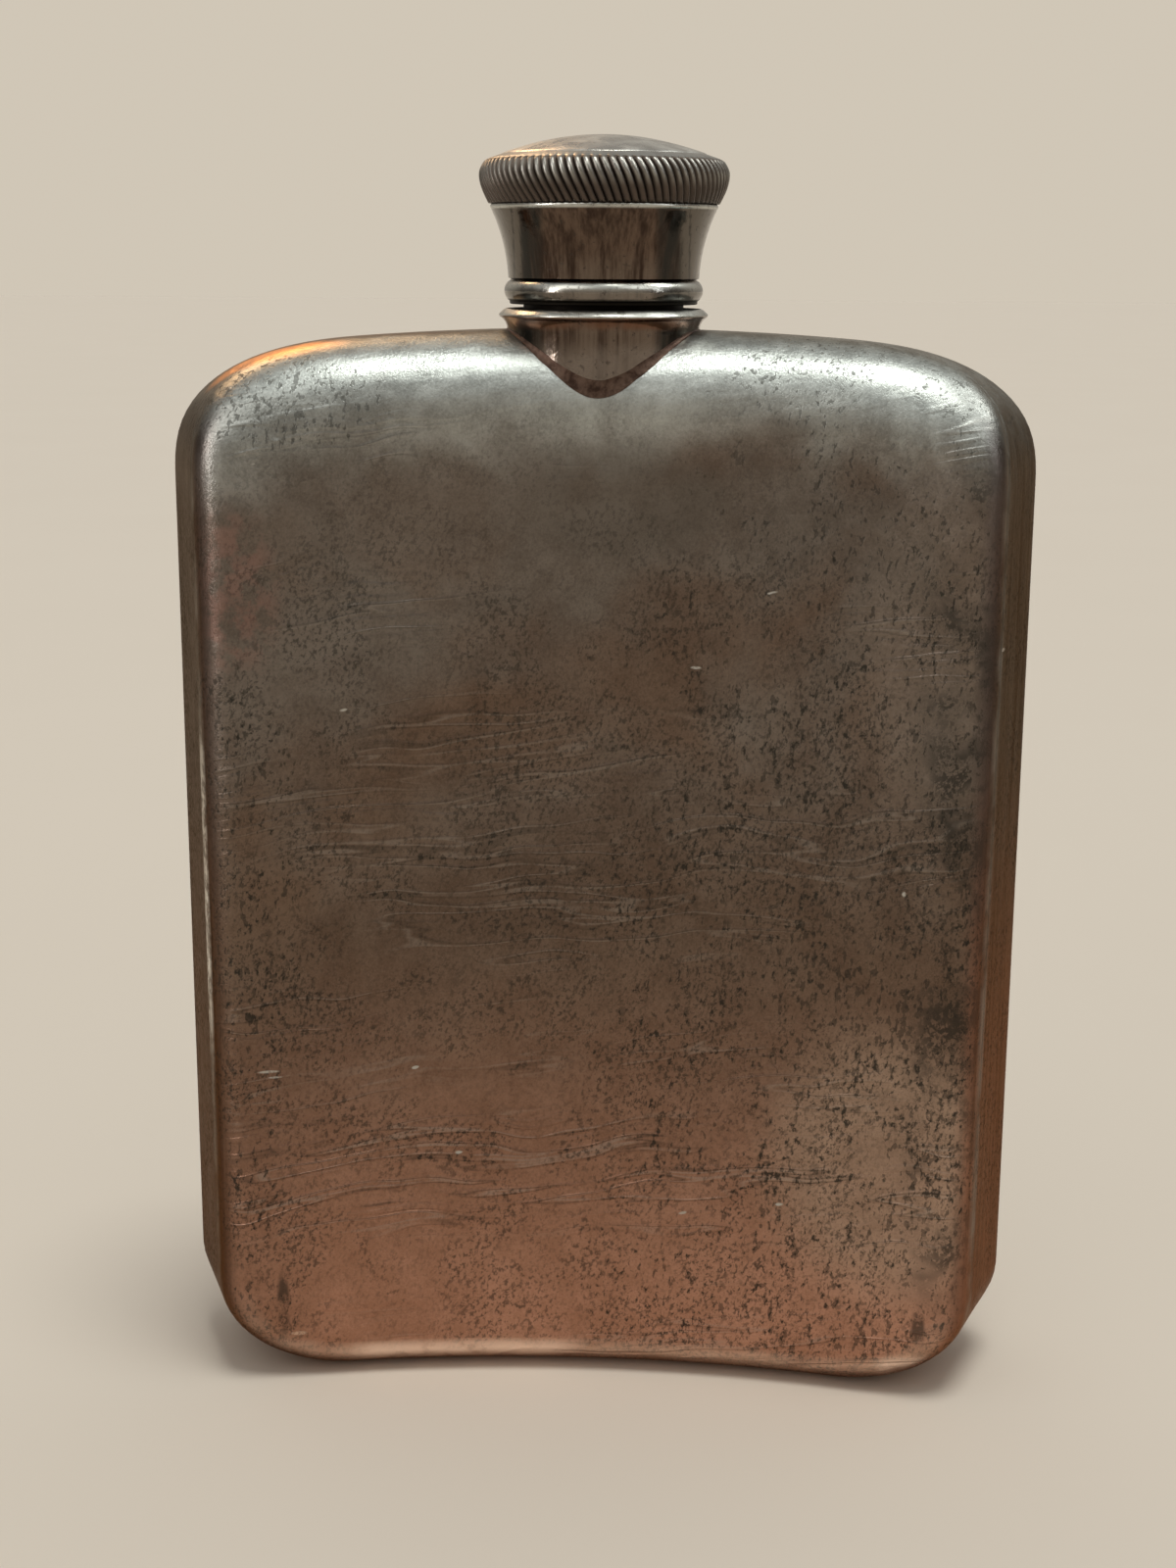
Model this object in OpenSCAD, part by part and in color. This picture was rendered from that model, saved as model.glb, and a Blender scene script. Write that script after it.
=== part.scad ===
// Curved metal hip flask with a bayonet cap.
// Frame: +Z up, the concave face towards -Y, +X to the right of someone facing that face.
// The origin is on the base, straight below the neck's axis. Millimetres.

/* [Body] */
// Overall width across the sides
body_w = 95.1; // [88:0.1:102]
// Height of the shoulder at the neck
body_h = 119.6; // [117:0.1:121]
// Thickness from the concave face to the convex face
body_t = 22; // [20:0.2:24]
// Bend radius of the body's middle surface, seen from above
bend_r = 160; // [130:1:300]
// Thickness of the sheet metal
wall = 1.2; // [0.8:0.1:1.6]
// How much the middle of the top edge stands above its ends
crown = 3; // [1:0.1:5]

/* [Corners and edges] */
// Width of a top corner in the front view
top_corner_w = 21.5; // [18:0.5:24]
// Height of a top corner in the front view
top_corner_h = 13.5; // [13:0.1:18]
// Power of the top corner's superellipse, where 2 is a plain ellipse
top_corner_power = 2.8; // [2:0.1:2.9]
// Width of a bottom corner in the front view, along the base
bottom_corner_w = 17; // [14:0.5:18]
// Height of a bottom corner in the front view, up the side
bottom_corner_h = 12; // [12:0.5:16]
// Radius of the roll along the shoulder
shoulder_roll = 9; // [7:0.1:9.5]
// Radius of the edge where the concave face meets a side
side_front_roll = 4; // [1.6:0.1:5]
// Radius of the edge where the convex face meets a side
side_back_roll = 7.5; // [4:0.1:8]
// Radius of the edges round the base
base_roll = 5; // [2:0.1:6]
// Lean of the sides, which makes the concave face the narrower one, in degrees
side_lean = 6; // [0:0.1:8]

/* [Neck and collar] */
// Outer radius of the neck tube
neck_r = 8.75; // [8.5:0.01:9]
// Radius of the neck's bore
bore_r = 6.9; // [6:0.1:7]
// Height of the neck's rim above the base
rim_z = 133; // [132.8:0.1:133]
// Radius of the collar's drum
drum_r = 10.5; // [10.2:0.1:10.6]
// Radius of the collar's sharp flange
flange_r = 11.43; // [11:0.01:12]
// Height of the collar's top face
collar_top_z = 121.7; // [121.4:0.1:121.8]

/* [Cap] */
// Height of the cap's lower lip
cap_bottom_z = 122.2; // [122.1:0.1:122.3]
// Height of the top of the cap
cap_top_z = 140.05; // [139.9:0.05:140.5]
// Greatest radius of the knurled band
knurl_r = 13.58; // [13.2:0.01:14]
// Number of ridges round the knurled band
ridge_count = 88; // [60:1:96]
// Depth of the grooves between the ridges
ridge_depth = 0.36; // [0.2:0.02:0.5]
// Turn of each ridge from the band's bottom to its top, in degrees
ridge_twist = 8; // [0:0.5:12]

/* [Bayonet] */
// Radius of a bayonet pin
pin_r = 1; // [0.8:0.05:1.1]
// Height of the pins when the cap is home
pin_z = 126.6; // [125:0.1:127.5]
// Turn from the slots' mouths to their locked ends, in degrees
lock_turn = 60; // [30:1:80]
// Clearance round a pin in its slot
pin_gap = 0.15; // [0.1:0.01:0.25]

/* [Hidden] */
$fn = 64;

pewter = [0.46, 0.44, 0.41];
polished = [0.66, 0.64, 0.60];
plate = [0.72, 0.70, 0.66];
dark_metal = [0.36, 0.35, 0.33];
cork_brown = [0.72, 0.54, 0.36];

// Body: half sizes of the outline, measured along the bend
half_t = body_t / 2;
roll_start_b = half_t - side_back_roll;   // where a side's wall ends and its back edge starts to roll
side_turn = asin(body_w / 2 / bend_r);
widest_b = half_t - side_back_roll * (1 - sin(side_turn));
roll_inset = side_back_roll * (1 - cos(side_turn)) * cos(side_turn);
half_s = bend_r * asin((body_w / 2 + roll_inset) / (bend_r + widest_b)) * PI / 180;
flat_h = body_h - crown;
face_rings = 7;
roll_steps = 6;
wall_steps = 3;
edge_steps = 6;
corner_steps = 9;

// Neck
running_gap = 0.1;
neck_bottom_z = 112.5;
groove_r = 7.4;
pin_tip_r = 7.55;
solder_r = 11.05;
solder_h = 0.5;
fit_gap = 0.02;                  // between two round pieces that are pressed or soldered together
saddle_gap = 0.06;               // between the shoulder and what is soldered on it

// Cap, as radii and heights of its turned profile
skirt_in_r = 9.7;
waist_r = 10.37;
waist_arc_r = 19.5;
waist_arc_z = 123.9;
bead_r = 1.3;
bead_z = 123.6;
bead_out_r = 10.84;
lip_r = 10.25;
lip_h = 0.5;
flare_r = 12.2;
flare_z = 132.2;
trim_r = 0.32;
trim_centre_r = 12.02;
trim_z = 132.48;
band_in_r = 11.2;
band_bottom_z = 132.8;
band_shoulder_z = 137.15;
band_top_z = 137.9;
skirt_top_z = 137;
dome_edge_z = 137.98;
dome_plate = 0.95;
bush_top_z = 132.9;

// Seal
seal_gap = 0.05;
cork_r = 8.55;
cork_h = 2.45;
cup_r = 9;
cup_plate = 0.7;
cup_lip = 1.4;
rivet_r = 1.5;
rivet_head_r = 2.6;
rivet_head_h = 1;
spacer_r = 3;
play = 0.12;
cork_top_z = rim_z + seal_gap + cork_h;
spacer_z = cork_top_z + cup_plate + play;
rivet_top_z = 138.9;

// ---- Body outline and section ----

function unit(v) = v / norm(v);

// Right half of the outline, from the middle of the base up to the middle of the top
function base_line() = [for (k = [0:edge_steps]) [(half_s - bottom_corner_w) * k / edge_steps, 0]];
function base_corner() = [for (k = [1:edge_steps]) let (a = 90 * k / edge_steps)
    [half_s - bottom_corner_w * (1 - sin(a)), bottom_corner_h * (1 - cos(a))]];
function side_line() = [for (k = [1:edge_steps - 1])
    [half_s, bottom_corner_h + (flat_h - top_corner_h - bottom_corner_h) * k / edge_steps]];
function top_corner() = [for (k = [0:corner_steps]) let (a = 90 * k / corner_steps)
    [half_s - top_corner_w * (1 - pow(cos(a), 2 / top_corner_power)),
     flat_h - top_corner_h * (1 - pow(sin(a), 2 / top_corner_power))]];
function top_line() = [for (k = [edge_steps - 1:-1:0]) [(half_s - top_corner_w) * k / edge_steps, flat_h]];
function crowned(p) = [p[0], p[1] + crown * (1 - pow(p[0] / half_s, 2)) * pow(p[1] / flat_h, 4)];

right_half = [for (p = concat(base_line(), base_corner(), side_line(), top_corner(), top_line())) crowned(p)];
left_half = [for (k = [len(right_half) - 2:-1:1]) [-right_half[k][0], right_half[k][1]]];
outline = concat(right_half, left_half);
count = len(outline);

// Outward normal of the outline at each point, from its two neighbours
function edge_normal(a, b) = let (e = unit(b - a)) [e[1], -e[0]];
normals = [for (i = [0:count - 1])
    unit(edge_normal(outline[(i + count - 1) % count], outline[i])
        + edge_normal(outline[i], outline[(i + 1) % count]))];

// Shares of the shoulder, the base and the sides at each point
top_share = [for (n = normals) pow(max(0, n[1]), 2)];
base_share = [for (n = normals) pow(min(0, n[1]), 2)];
side_share = [for (i = [0:count - 1]) 1 - top_share[i] - base_share[i]];
front_roll = [for (i = [0:count - 1])
    shoulder_roll * top_share[i] + base_roll * base_share[i] + side_front_roll * side_share[i]];
back_roll = [for (i = [0:count - 1])
    shoulder_roll * top_share[i] + base_roll * base_share[i] + side_back_roll * side_share[i]];

// Bends a point of the flat pattern: s along the width, b through the thickness, z up
function bend(s, b, z) = let (a = s / bend_r * 180 / PI)
    [(bend_r + b) * sin(a), (bend_r + b) * cos(a) - bend_r, z];

// Point on the section at outline point i: d inside the outline, b through the thickness
function lean_in(i, b) = max(0, roll_start_b - b) * tan(side_lean) * side_share[i];
function at(i, d, b) = let (p = outline[i] - normals[i] * (d + lean_in(i, b))) bend(p[0], b, p[1]);

function ring_front(skin, v) = [for (i = [0:count - 1]) let (r = front_roll[i] - skin, a = 90 * v)
    at(i, skin + r * (1 - sin(a)), -half_t + skin + r * (1 - cos(a)))];
function ring_back(skin, v) = [for (i = [0:count - 1]) let (r = back_roll[i] - skin, a = 90 * v)
    at(i, skin + r * (1 - sin(a)), half_t - skin - r * (1 - cos(a)))];
function ring_wall(skin, v) = [for (i = [0:count - 1])
    at(i, skin, (1 - v) * (half_t - back_roll[i]) + v * (-half_t + front_roll[i]))];

// Rings that fill a face, drawn in towards the face's middle at half height
function ring_face(skin, side, k) = let (b = side * (half_t - skin), f = k / face_rings)
    [for (i = [0:count - 1]) let (
        roll = side < 0 ? front_roll[i] : back_roll[i],
        p = outline[i] - normals[i] * (roll + lean_in(i, b)))
        bend(p[0] * f, b, body_h / 2 + (p[1] - body_h / 2) * f)];
function face_middle(skin, side) = bend(0, side * (half_t - skin), body_h / 2);

// A closed skin from a list of rings, with a fan over each end
module skin_solid(first, rings, last, flip) {
    n = len(rings[0]);
    m = len(rings);
    points = concat([first], [for (r = rings) each r], [last]);
    fan_a = [for (i = [0:n - 1]) [0, 1 + i, 1 + (i + 1) % n]];
    strips = [for (k = [0:m - 2]) for (i = [0:n - 1]) let (
        a = 1 + k * n + i, b = 1 + k * n + (i + 1) % n, c = b + n, d = a + n)
        each [[a, d, b], [b, d, c]]];
    fan_b = [for (i = [0:n - 1]) [1 + (m - 1) * n + i, 1 + m * n, 1 + (m - 1) * n + (i + 1) % n]];
    faces = concat(fan_a, strips, fan_b);
    polyhedron(points, flip ? [for (f = faces) [f[2], f[1], f[0]]] : faces);
}

// ---- Body ----

module neck_hole() {
    translate([0, 0, neck_bottom_z - 5]) cylinder(r = neck_r + fit_gap, h = 30);
}

module front_shell() {
    outer = concat([for (k = [1:face_rings - 1]) ring_face(0, -1, k)],
        [for (k = [0:roll_steps]) ring_front(0, k / roll_steps)]);
    inner = concat([for (k = [roll_steps:-1:0]) ring_front(wall, k / roll_steps)],
        [for (k = [face_rings - 1:-1:1]) ring_face(wall, -1, k)]);
    color(pewter) difference() {
        skin_solid(face_middle(0, -1), concat(outer, inner), face_middle(wall, -1), true);
        neck_hole();
    }
}

module back_shell() {
    outer = concat([for (k = [1:face_rings - 1]) ring_face(0, 1, k)],
        [for (k = [0:roll_steps]) ring_back(0, k / roll_steps)],
        [for (k = [1:wall_steps]) ring_wall(0, k / wall_steps)]);
    inner = concat([for (k = [wall_steps:-1:1]) ring_wall(wall, k / wall_steps)],
        [for (k = [roll_steps:-1:0]) ring_back(wall, k / roll_steps)],
        [for (k = [face_rings - 1:-1:1]) ring_face(wall, 1, k)]);
    color(pewter) difference() {
        skin_solid(face_middle(0, 1), concat(outer, inner), face_middle(wall, 1), false);
        neck_hole();
    }
}

// ---- Shoulder under the collar, as a block up to the body's outer surface ----

saddle_s = 13;
saddle_cells = 8;
saddle_bottom_z = 100;
function shoulder_z(s, b) = let (over = max(0, abs(b) - (half_t - shoulder_roll)))
    body_h - crown * pow(s / half_s, 2)
        - shoulder_roll + sqrt(max(0, pow(shoulder_roll, 2) - pow(over, 2)));
// Offsets through the thickness, closer together towards the faces
saddle_b = concat([for (a = [90:-10:10]) -(half_t - shoulder_roll) - shoulder_roll * sin(a)],
    [for (k = [0:2]) (half_t - shoulder_roll) * (k - 1)],
    [for (a = [10:10:90]) (half_t - shoulder_roll) + shoulder_roll * sin(a)]);

module shoulder_block(lift) {
    m = len(saddle_b);
    n = saddle_cells + 1;
    grid = [for (j = [0:m - 1]) for (i = [0:n - 1]) let (s = saddle_s * (2 * i / saddle_cells - 1))
        [s, saddle_b[j]]];
    top = [for (g = grid) bend(g[0], g[1], shoulder_z(g[0], g[1]) + lift)];
    bottom = [for (g = grid) bend(g[0], g[1], saddle_bottom_z)];
    at_index = function (i, j) j * n + i;
    size = m * n;
    top_faces = [for (j = [0:m - 2]) for (i = [0:n - 2]) let (
        a = at_index(i, j), b = at_index(i + 1, j), c = at_index(i + 1, j + 1), d = at_index(i, j + 1))
        each [[a, c, b], [a, d, c]]];
    bottom_faces = [for (f = top_faces) [f[2] + size, f[1] + size, f[0] + size]];
    rim = concat([for (i = [0:n - 2]) at_index(i, 0)], [for (j = [0:m - 2]) at_index(n - 1, j)],
        [for (i = [n - 1:-1:1]) at_index(i, m - 1)], [for (j = [m - 1:-1:1]) at_index(0, j)]);
    sides = [for (k = [0:len(rim) - 1]) let (a = rim[k], b = rim[(k + 1) % len(rim)])
        each [[a, b, b + size], [a, b + size, a + size]]];
    polyhedron(concat(top, bottom), concat(top_faces, bottom_faces, sides));
}

// ---- Neck ----

drum_top_z = 119.7;
edge_z = 121.1;
cove_r = 1.5;
bevel_r = 10.85;
collar_bottom_z = 112.6;

module collar_profile() {
    in_r = neck_r + fit_gap;
    difference() {
        polygon([[in_r, collar_bottom_z], [drum_r, collar_bottom_z], [drum_r, drum_top_z - 0.3],
            [flange_r, edge_z - 0.1], [flange_r, edge_z], [bevel_r, collar_top_z - 0.1],
            [bevel_r - 0.2, collar_top_z], [in_r, collar_top_z]]);
        translate([drum_r + cove_r + 0.05, drum_top_z - 0.2]) circle(r = cove_r);
    }
}

module collar() {
    color(polished) difference() {
        rotate_extrude() collar_profile();
        shoulder_block(saddle_gap);
    }
}

// Thin fillet of solder round the foot of the collar, following the shoulder
module collar_solder() {
    color(dark_metal) difference() {
        intersection() {
            rotate_extrude() difference() {
                translate([drum_r + fit_gap, collar_bottom_z]) square([solder_r - drum_r, 10]);
                offset(delta = fit_gap) collar_profile();
            }
            shoulder_block(solder_h);
        }
        shoulder_block(2 * saddle_gap);
    }
}

module slot() {
    reach = 2;
    half_w = pin_r + pin_gap;
    end_turn = lock_turn + asin(half_w / neck_r);
    translate([groove_r, -half_w, pin_z - half_w]) cube([reach, 2 * half_w, rim_z]);
    rotate_extrude(angle = end_turn) translate([groove_r, pin_z - half_w]) square([reach, 2 * half_w]);
}

module neck_tube() {
    lip = 0.25;
    color(plate) difference() {
        rotate_extrude() polygon([[bore_r, neck_bottom_z], [neck_r, neck_bottom_z], [neck_r, rim_z - lip],
            [neck_r - lip, rim_z], [bore_r + lip, rim_z], [bore_r, rim_z - lip]]);
        slot();
        rotate([0, 0, 180]) slot();
    }
}

// ---- Cap ----

module cap_skirt() {
    color(polished) rotate_extrude() union() {
        difference() {
            translate([skirt_in_r, waist_arc_z]) square([flare_r - skirt_in_r, flare_z - waist_arc_z]);
            translate([waist_r + waist_arc_r, waist_arc_z]) circle(r = waist_arc_r, $fn = 256);
        }
        intersection() {
            translate([bead_out_r - bead_r, bead_z]) circle(r = bead_r);
            translate([skirt_in_r, cap_bottom_z]) square(bead_r * 3);
        }
        translate([skirt_in_r, cap_bottom_z]) square([lip_r - skirt_in_r, lip_h]);
        translate([skirt_in_r, flare_z]) square([trim_centre_r - skirt_in_r, band_bottom_z - flare_z]);
        translate([trim_centre_r, trim_z]) circle(r = trim_r);
        translate([skirt_in_r, flare_z]) square([band_in_r - skirt_in_r, skirt_top_z - flare_z]);
    }
}

module pin_pair() {
    for (turn = [0, 180]) rotate([0, 0, turn])
        translate([pin_tip_r, 0, pin_z]) rotate([0, 90, 0]) cylinder(r = pin_r, h = skirt_in_r - pin_tip_r);
}

module cap_bush() {
    color(plate) difference() {
        rotate_extrude() translate([neck_r + running_gap, cap_bottom_z + lip_h / 2])
            square([skirt_in_r - fit_gap - neck_r - running_gap, bush_top_z - cap_bottom_z - lip_h / 2]);
        pin_pair();
    }
}

module bayonet_pins() {
    color(dark_metal) intersection() {
        pin_pair();
        cylinder(r = skirt_in_r, h = cap_top_z);
    }
}

// Band's outer profile: v from 0 at the bottom to 1 at its upper corner
band_low_r = 12.54;
band_corner_r = 13.0;
band_widest_v = 0.7;
band_rows = 5;
samples_per_ridge = 3;
function band_r(v) = v < band_widest_v
    ? band_low_r + (knurl_r - band_low_r) * sin(90 * v / band_widest_v)
    : knurl_r - (knurl_r - band_corner_r) * (1 - cos(90 * (v - band_widest_v) / (1 - band_widest_v)));

module knurled_band() {
    n = ridge_count * samples_per_ridge;
    // The last row is the plain rim against the dome
    outer = [for (k = [0:band_rows]) let (v = k / band_rows) [for (i = [0:n - 1]) let (
        turn = 360 * i / n - ridge_twist * v,
        groove = ridge_depth * (i % samples_per_ridge == 0 ? 1 : 0),
        r = band_r(v) - groove)
        [r * cos(turn), r * sin(turn), band_bottom_z + (band_shoulder_z - band_bottom_z) * v]]];
    in_r = band_in_r + fit_gap;
    rim = [for (i = [0:n - 1]) let (turn = 360 * i / n - ridge_twist)
        [in_r * cos(turn), in_r * sin(turn), band_top_z]];
    foot = [for (p = rim) [p[0], p[1], band_bottom_z]];
    rings = concat(outer, [rim]);
    m = len(rings);
    points = concat([for (r = rings) each r], foot);
    strips = [for (k = [0:m]) for (i = [0:n - 1]) let (
        j = (i + 1) % n, lower = (k % (m + 1)) * n, upper = ((k + 1) % (m + 1)) * n)
        each [[lower + i, upper + i, lower + j], [lower + j, upper + i, upper + j]]];
    color(dark_metal) polyhedron(points, strips);
}

dome_edge_r = 11.1;
module cap_dome() {
    rise = cap_top_z - dome_edge_z;
    dome_r = (pow(dome_edge_r, 2) + pow(rise, 2)) / (2 * rise);
    color(plate) rotate_extrude() difference() {
        intersection() {
            translate([0, skirt_top_z]) square([dome_edge_r, cap_top_z]);
            translate([0, cap_top_z - dome_r]) circle(r = dome_r, $fn = 256);
        }
        intersection() {
            translate([-1, 0]) square([skirt_in_r + 1, rivet_top_z]);
            translate([0, cap_top_z - dome_r]) circle(r = dome_r - dome_plate, $fn = 256);
        }
        translate([-dome_r, 0]) square([dome_r, 2 * cap_top_z]);
    }
}

// ---- Swivelling seal ----

module swivel_rivet() {
    head_z = cork_top_z - play - rivet_head_h;
    color(dark_metal) rotate_extrude() union() {
        translate([0, head_z]) square([rivet_head_r, rivet_head_h]);
        translate([0, head_z]) square([rivet_r, spacer_z - head_z]);
        translate([0, spacer_z]) square([spacer_r, rivet_top_z - spacer_z]);
    }
}

module seal_cup() {
    color(plate) rotate_extrude() union() {
        translate([rivet_r + 0.06, cork_top_z]) square([cup_r - rivet_r - 0.06, cup_plate]);
        translate([cork_r, cork_top_z - cup_lip]) square([cup_r - cork_r, cup_lip]);
    }
}

module cork_washer() {
    pocket_h = rivet_head_h + 2 * play;
    pocket_r = rivet_head_r + 0.3;
    color(cork_brown) difference() {
        translate([0, 0, rim_z + seal_gap]) cylinder(r = cork_r, h = cork_h);
        translate([0, 0, cork_top_z - pocket_h]) cylinder(r = pocket_r, h = cork_h);
    }
}

front_shell();
back_shell();
collar();
collar_solder();
neck_tube();
cap_skirt();
cap_bush();
bayonet_pins();
knurled_band();
cap_dome();
swivel_rivet();
seal_cup();
cork_washer();
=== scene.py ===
"""Looks of the curved hip flask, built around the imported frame.

Lengths are in millimetres and become metres where Blender takes them; only the floor and the lights
are given in metres. The frame is the CAD's: +Z up, the concave face towards -Y, the origin on the
base under the neck's axis.
"""

import math

import bmesh
import bpy
from mathutils import Matrix, Vector, noise


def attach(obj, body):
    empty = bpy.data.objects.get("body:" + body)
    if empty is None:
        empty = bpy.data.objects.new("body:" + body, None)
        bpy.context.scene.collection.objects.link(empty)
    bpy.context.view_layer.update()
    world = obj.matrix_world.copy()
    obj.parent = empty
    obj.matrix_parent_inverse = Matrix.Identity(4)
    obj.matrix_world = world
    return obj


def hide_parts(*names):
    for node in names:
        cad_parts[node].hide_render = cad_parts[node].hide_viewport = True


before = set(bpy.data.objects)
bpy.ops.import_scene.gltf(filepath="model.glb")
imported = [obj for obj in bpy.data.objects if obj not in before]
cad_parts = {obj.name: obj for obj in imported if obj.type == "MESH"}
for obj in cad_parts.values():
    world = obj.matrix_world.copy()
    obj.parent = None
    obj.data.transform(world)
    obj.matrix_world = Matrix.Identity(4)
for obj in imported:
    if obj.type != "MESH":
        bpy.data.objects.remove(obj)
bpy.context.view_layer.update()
MM = 0.001

# ---- Camera, at the viewing angle of the photograph ----

CAMERA_PITCH = math.radians(13.3)
CAMERA_TURN = math.radians(3.09)
CAMERA_ROLL = math.radians(0.31)
CAMERA_DISTANCE = 252.0
CAMERA_HEIGHT = 127.8
CAMERA_ASIDE = 1.41
SENSOR = 36.0
LENS = 51.75


def add_camera():
    forward = Vector((-math.sin(CAMERA_TURN), math.cos(CAMERA_TURN), 0))
    right = Vector((math.cos(CAMERA_TURN), math.sin(CAMERA_TURN), 0))
    up = Vector((0, 0, 1))
    look = forward * math.cos(CAMERA_PITCH) - up * math.sin(CAMERA_PITCH)
    lift = forward * math.sin(CAMERA_PITCH) + up * math.cos(CAMERA_PITCH)
    place = (up * CAMERA_HEIGHT - forward * CAMERA_DISTANCE - right * CAMERA_ASIDE) * MM
    across = right * math.cos(CAMERA_ROLL) + lift * math.sin(CAMERA_ROLL)
    above = lift * math.cos(CAMERA_ROLL) - right * math.sin(CAMERA_ROLL)
    data = bpy.data.cameras.new("camera")
    data.sensor_fit = "AUTO"
    data.sensor_width = SENSOR
    data.lens = LENS
    data.clip_start = 0.01
    camera = bpy.data.objects.new("camera", data)
    axes = Matrix((across, above, -look)).transposed().to_4x4()
    camera.matrix_world = Matrix.Translation(place) @ axes
    bpy.context.scene.collection.objects.link(camera)
    bpy.context.scene.camera = camera


add_camera()

# ---- Materials ----

MIX_SHARE, MIX_A, MIX_B, MIX_RESULT = 0, 6, 7, 2   # sockets of a mix node in its colour mode


class Nodes:
    """Short calls that add nodes to a node tree and return their outputs."""

    def __init__(self, tree):
        self.nodes, self.links = tree.nodes, tree.links

    def give(self, value, socket):
        """Sets a number or a vector on a socket, or links another node's output to it."""
        if isinstance(value, bpy.types.NodeSocket):
            self.links.new(value, socket)
        else:
            socket.default_value = value

    def node(self, kind, inputs=None, **settings):
        made = self.nodes.new(kind)
        for key, value in settings.items():
            setattr(made, key, value)
        for key, value in (inputs or {}).items():
            self.give(value, made.inputs[key])
        return made

    def math(self, operation, a, b=0.0):
        return self.node("ShaderNodeMath", {0: a, 1: b}, operation=operation).outputs[0]

    def chain(self, operation, values):
        total = values[0]
        for value in values[1:]:
            total = self.math(operation, total, value)
        return total

    def add(self, *values):
        return self.chain("ADD", values)

    def times(self, *values):
        return self.chain("MULTIPLY", values)

    def most(self, *values):
        return self.chain("MAXIMUM", values)

    def inverse(self, value):
        return self.math("SUBTRACT", 1.0, value)

    def apart(self, value, centre=0.0):
        """How far a value is from a centre, on either side of it."""
        return self.math("ABSOLUTE", self.math("SUBTRACT", value, centre))

    def fit(self, value, low, high, to_low=0.0, to_high=1.0):
        """A smooth step from to_low, where value is low, to to_high, where it is high."""
        made = self.node("ShaderNodeMapRange", {0: value, 1: low, 2: high, 3: to_low, 4: to_high},
                         interpolation_type="SMOOTHSTEP")
        return made.outputs[0]

    def mix(self, share, a, b):
        """Colour a with a share of colour b over it. Each is an output or an RGB tuple."""
        made = self.node("ShaderNodeMix", data_type="RGBA")
        self.give(share, made.inputs[MIX_SHARE])
        for socket, colour in ((MIX_A, a), (MIX_B, b)):
            self.give((*colour, 1) if isinstance(colour, tuple) else colour, made.inputs[socket])
        return made.outputs[MIX_RESULT]

    def part(self, axis, vector):
        return self.node("ShaderNodeSeparateXYZ", {0: vector}).outputs[axis]


class Shader(Nodes):
    """A material on one Principled BSDF. Its places are object coordinates in millimetres."""

    def __init__(self, name, **sockets):
        self.material = bpy.data.materials.new(name)
        self.material.use_nodes = True
        super().__init__(self.material.node_tree)
        self.bsdf = self.nodes["Principled BSDF"]
        for key, value in sockets.items():
            self.bsdf.inputs[key.replace("_", " ")].default_value = value
        self.place = self.scaled(self.node("ShaderNodeTexCoord").outputs["Object"], 1 / MM)
        self.x, self.y, self.z = (self.part(axis, self.place) for axis in range(3))
        self.colour = None   # painted in layers

    def vector(self, operation, a, b):
        return self.node("ShaderNodeVectorMath", {0: a, 1: b}, operation=operation).outputs[0]

    def scaled(self, vector, factor):
        return self.node("ShaderNodeVectorMath", {0: vector, 3: factor}, operation="SCALE").outputs[0]

    def length(self, vector):
        return self.node("ShaderNodeVectorMath", {0: vector}, operation="LENGTH").outputs["Value"]

    def stretched(self, scale, turn=(0, 0, 0), vector=None):
        """The places, scaled along axes turned by the angles of turn."""
        sizes = tuple(1 / v if v else 0 for v in scale)
        return self.node("ShaderNodeMapping", {0: vector or self.place, 2: turn, 3: sizes},
                         vector_type="TEXTURE").outputs[0]

    def noise(self, scale, detail, rough=0.5, vector=None, warp=0.0):
        return self.node("ShaderNodeTexNoise", {
            "Vector": vector or self.place, "Scale": scale, "Detail": detail,
            "Roughness": rough, "Distortion": warp}).outputs[0]

    def shaken(self, amount, scale, vector=None):
        """The places, or those of vector, moved about by a noise of that scale."""
        shake = self.node("ShaderNodeTexNoise", {"Vector": self.place, "Scale": scale, "Detail": 2.0})
        return self.vector("ADD", vector or self.place, self.scaled(shake.outputs["Color"], amount))

    def dots(self, scale, vector, share, radius, soft):
        """Round marks in a share of the cells of a cell pattern."""
        made = self.node("ShaderNodeTexVoronoi", {"Vector": vector, "Scale": scale})
        chosen = self.fit(self.math("SUBTRACT", share, self.part(0, made.outputs["Color"])), 0.0, 0.05)
        return self.times(self.fit(made.outputs["Distance"], radius, radius - soft), chosen)

    def lines(self, field, width):
        """Thin lines where a field crosses its middle."""
        return self.fit(self.apart(field, 0.5), width, 0.0)

    def attribute(self, name):
        return self.node("ShaderNodeAttribute", attribute_name=name).outputs["Fac"]

    def near(self, centre, radii):
        """1 inside an ellipsoid, fading to 0 at twice its size."""
        offset = self.vector("SUBTRACT", self.place, centre)
        return self.fit(self.length(self.vector("DIVIDE", offset, radii)), 1.0, 2.0, 1.0, 0.0)

    def paint(self, share, tint):
        """Lays a share of tint over the colour so far."""
        self.colour = self.mix(share, self.colour, tint)

    def dab(self, tint, centre, radii, *shares):
        """Paints a patch, as strong as the product of the shares."""
        self.paint(self.times(self.near(centre, radii), *shares), tint)

    def bump(self, height, depth, strength, under=None):
        """A normal from a height field of that depth in millimetres, on top of another normal."""
        inputs = {"Height": height, "Distance": depth * MM, "Strength": strength}
        if under:
            inputs["Normal"] = under
        return self.node("ShaderNodeBump", inputs).outputs[0]

    def finished(self, rough, normal=None):
        """The material, once the shader has its colour, roughness and normal."""
        for socket, value in (("Base Color", self.colour), ("Roughness", rough), ("Normal", normal)):
            if value:
                self.links.new(value, self.bsdf.inputs[socket])
        return self.material


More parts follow.
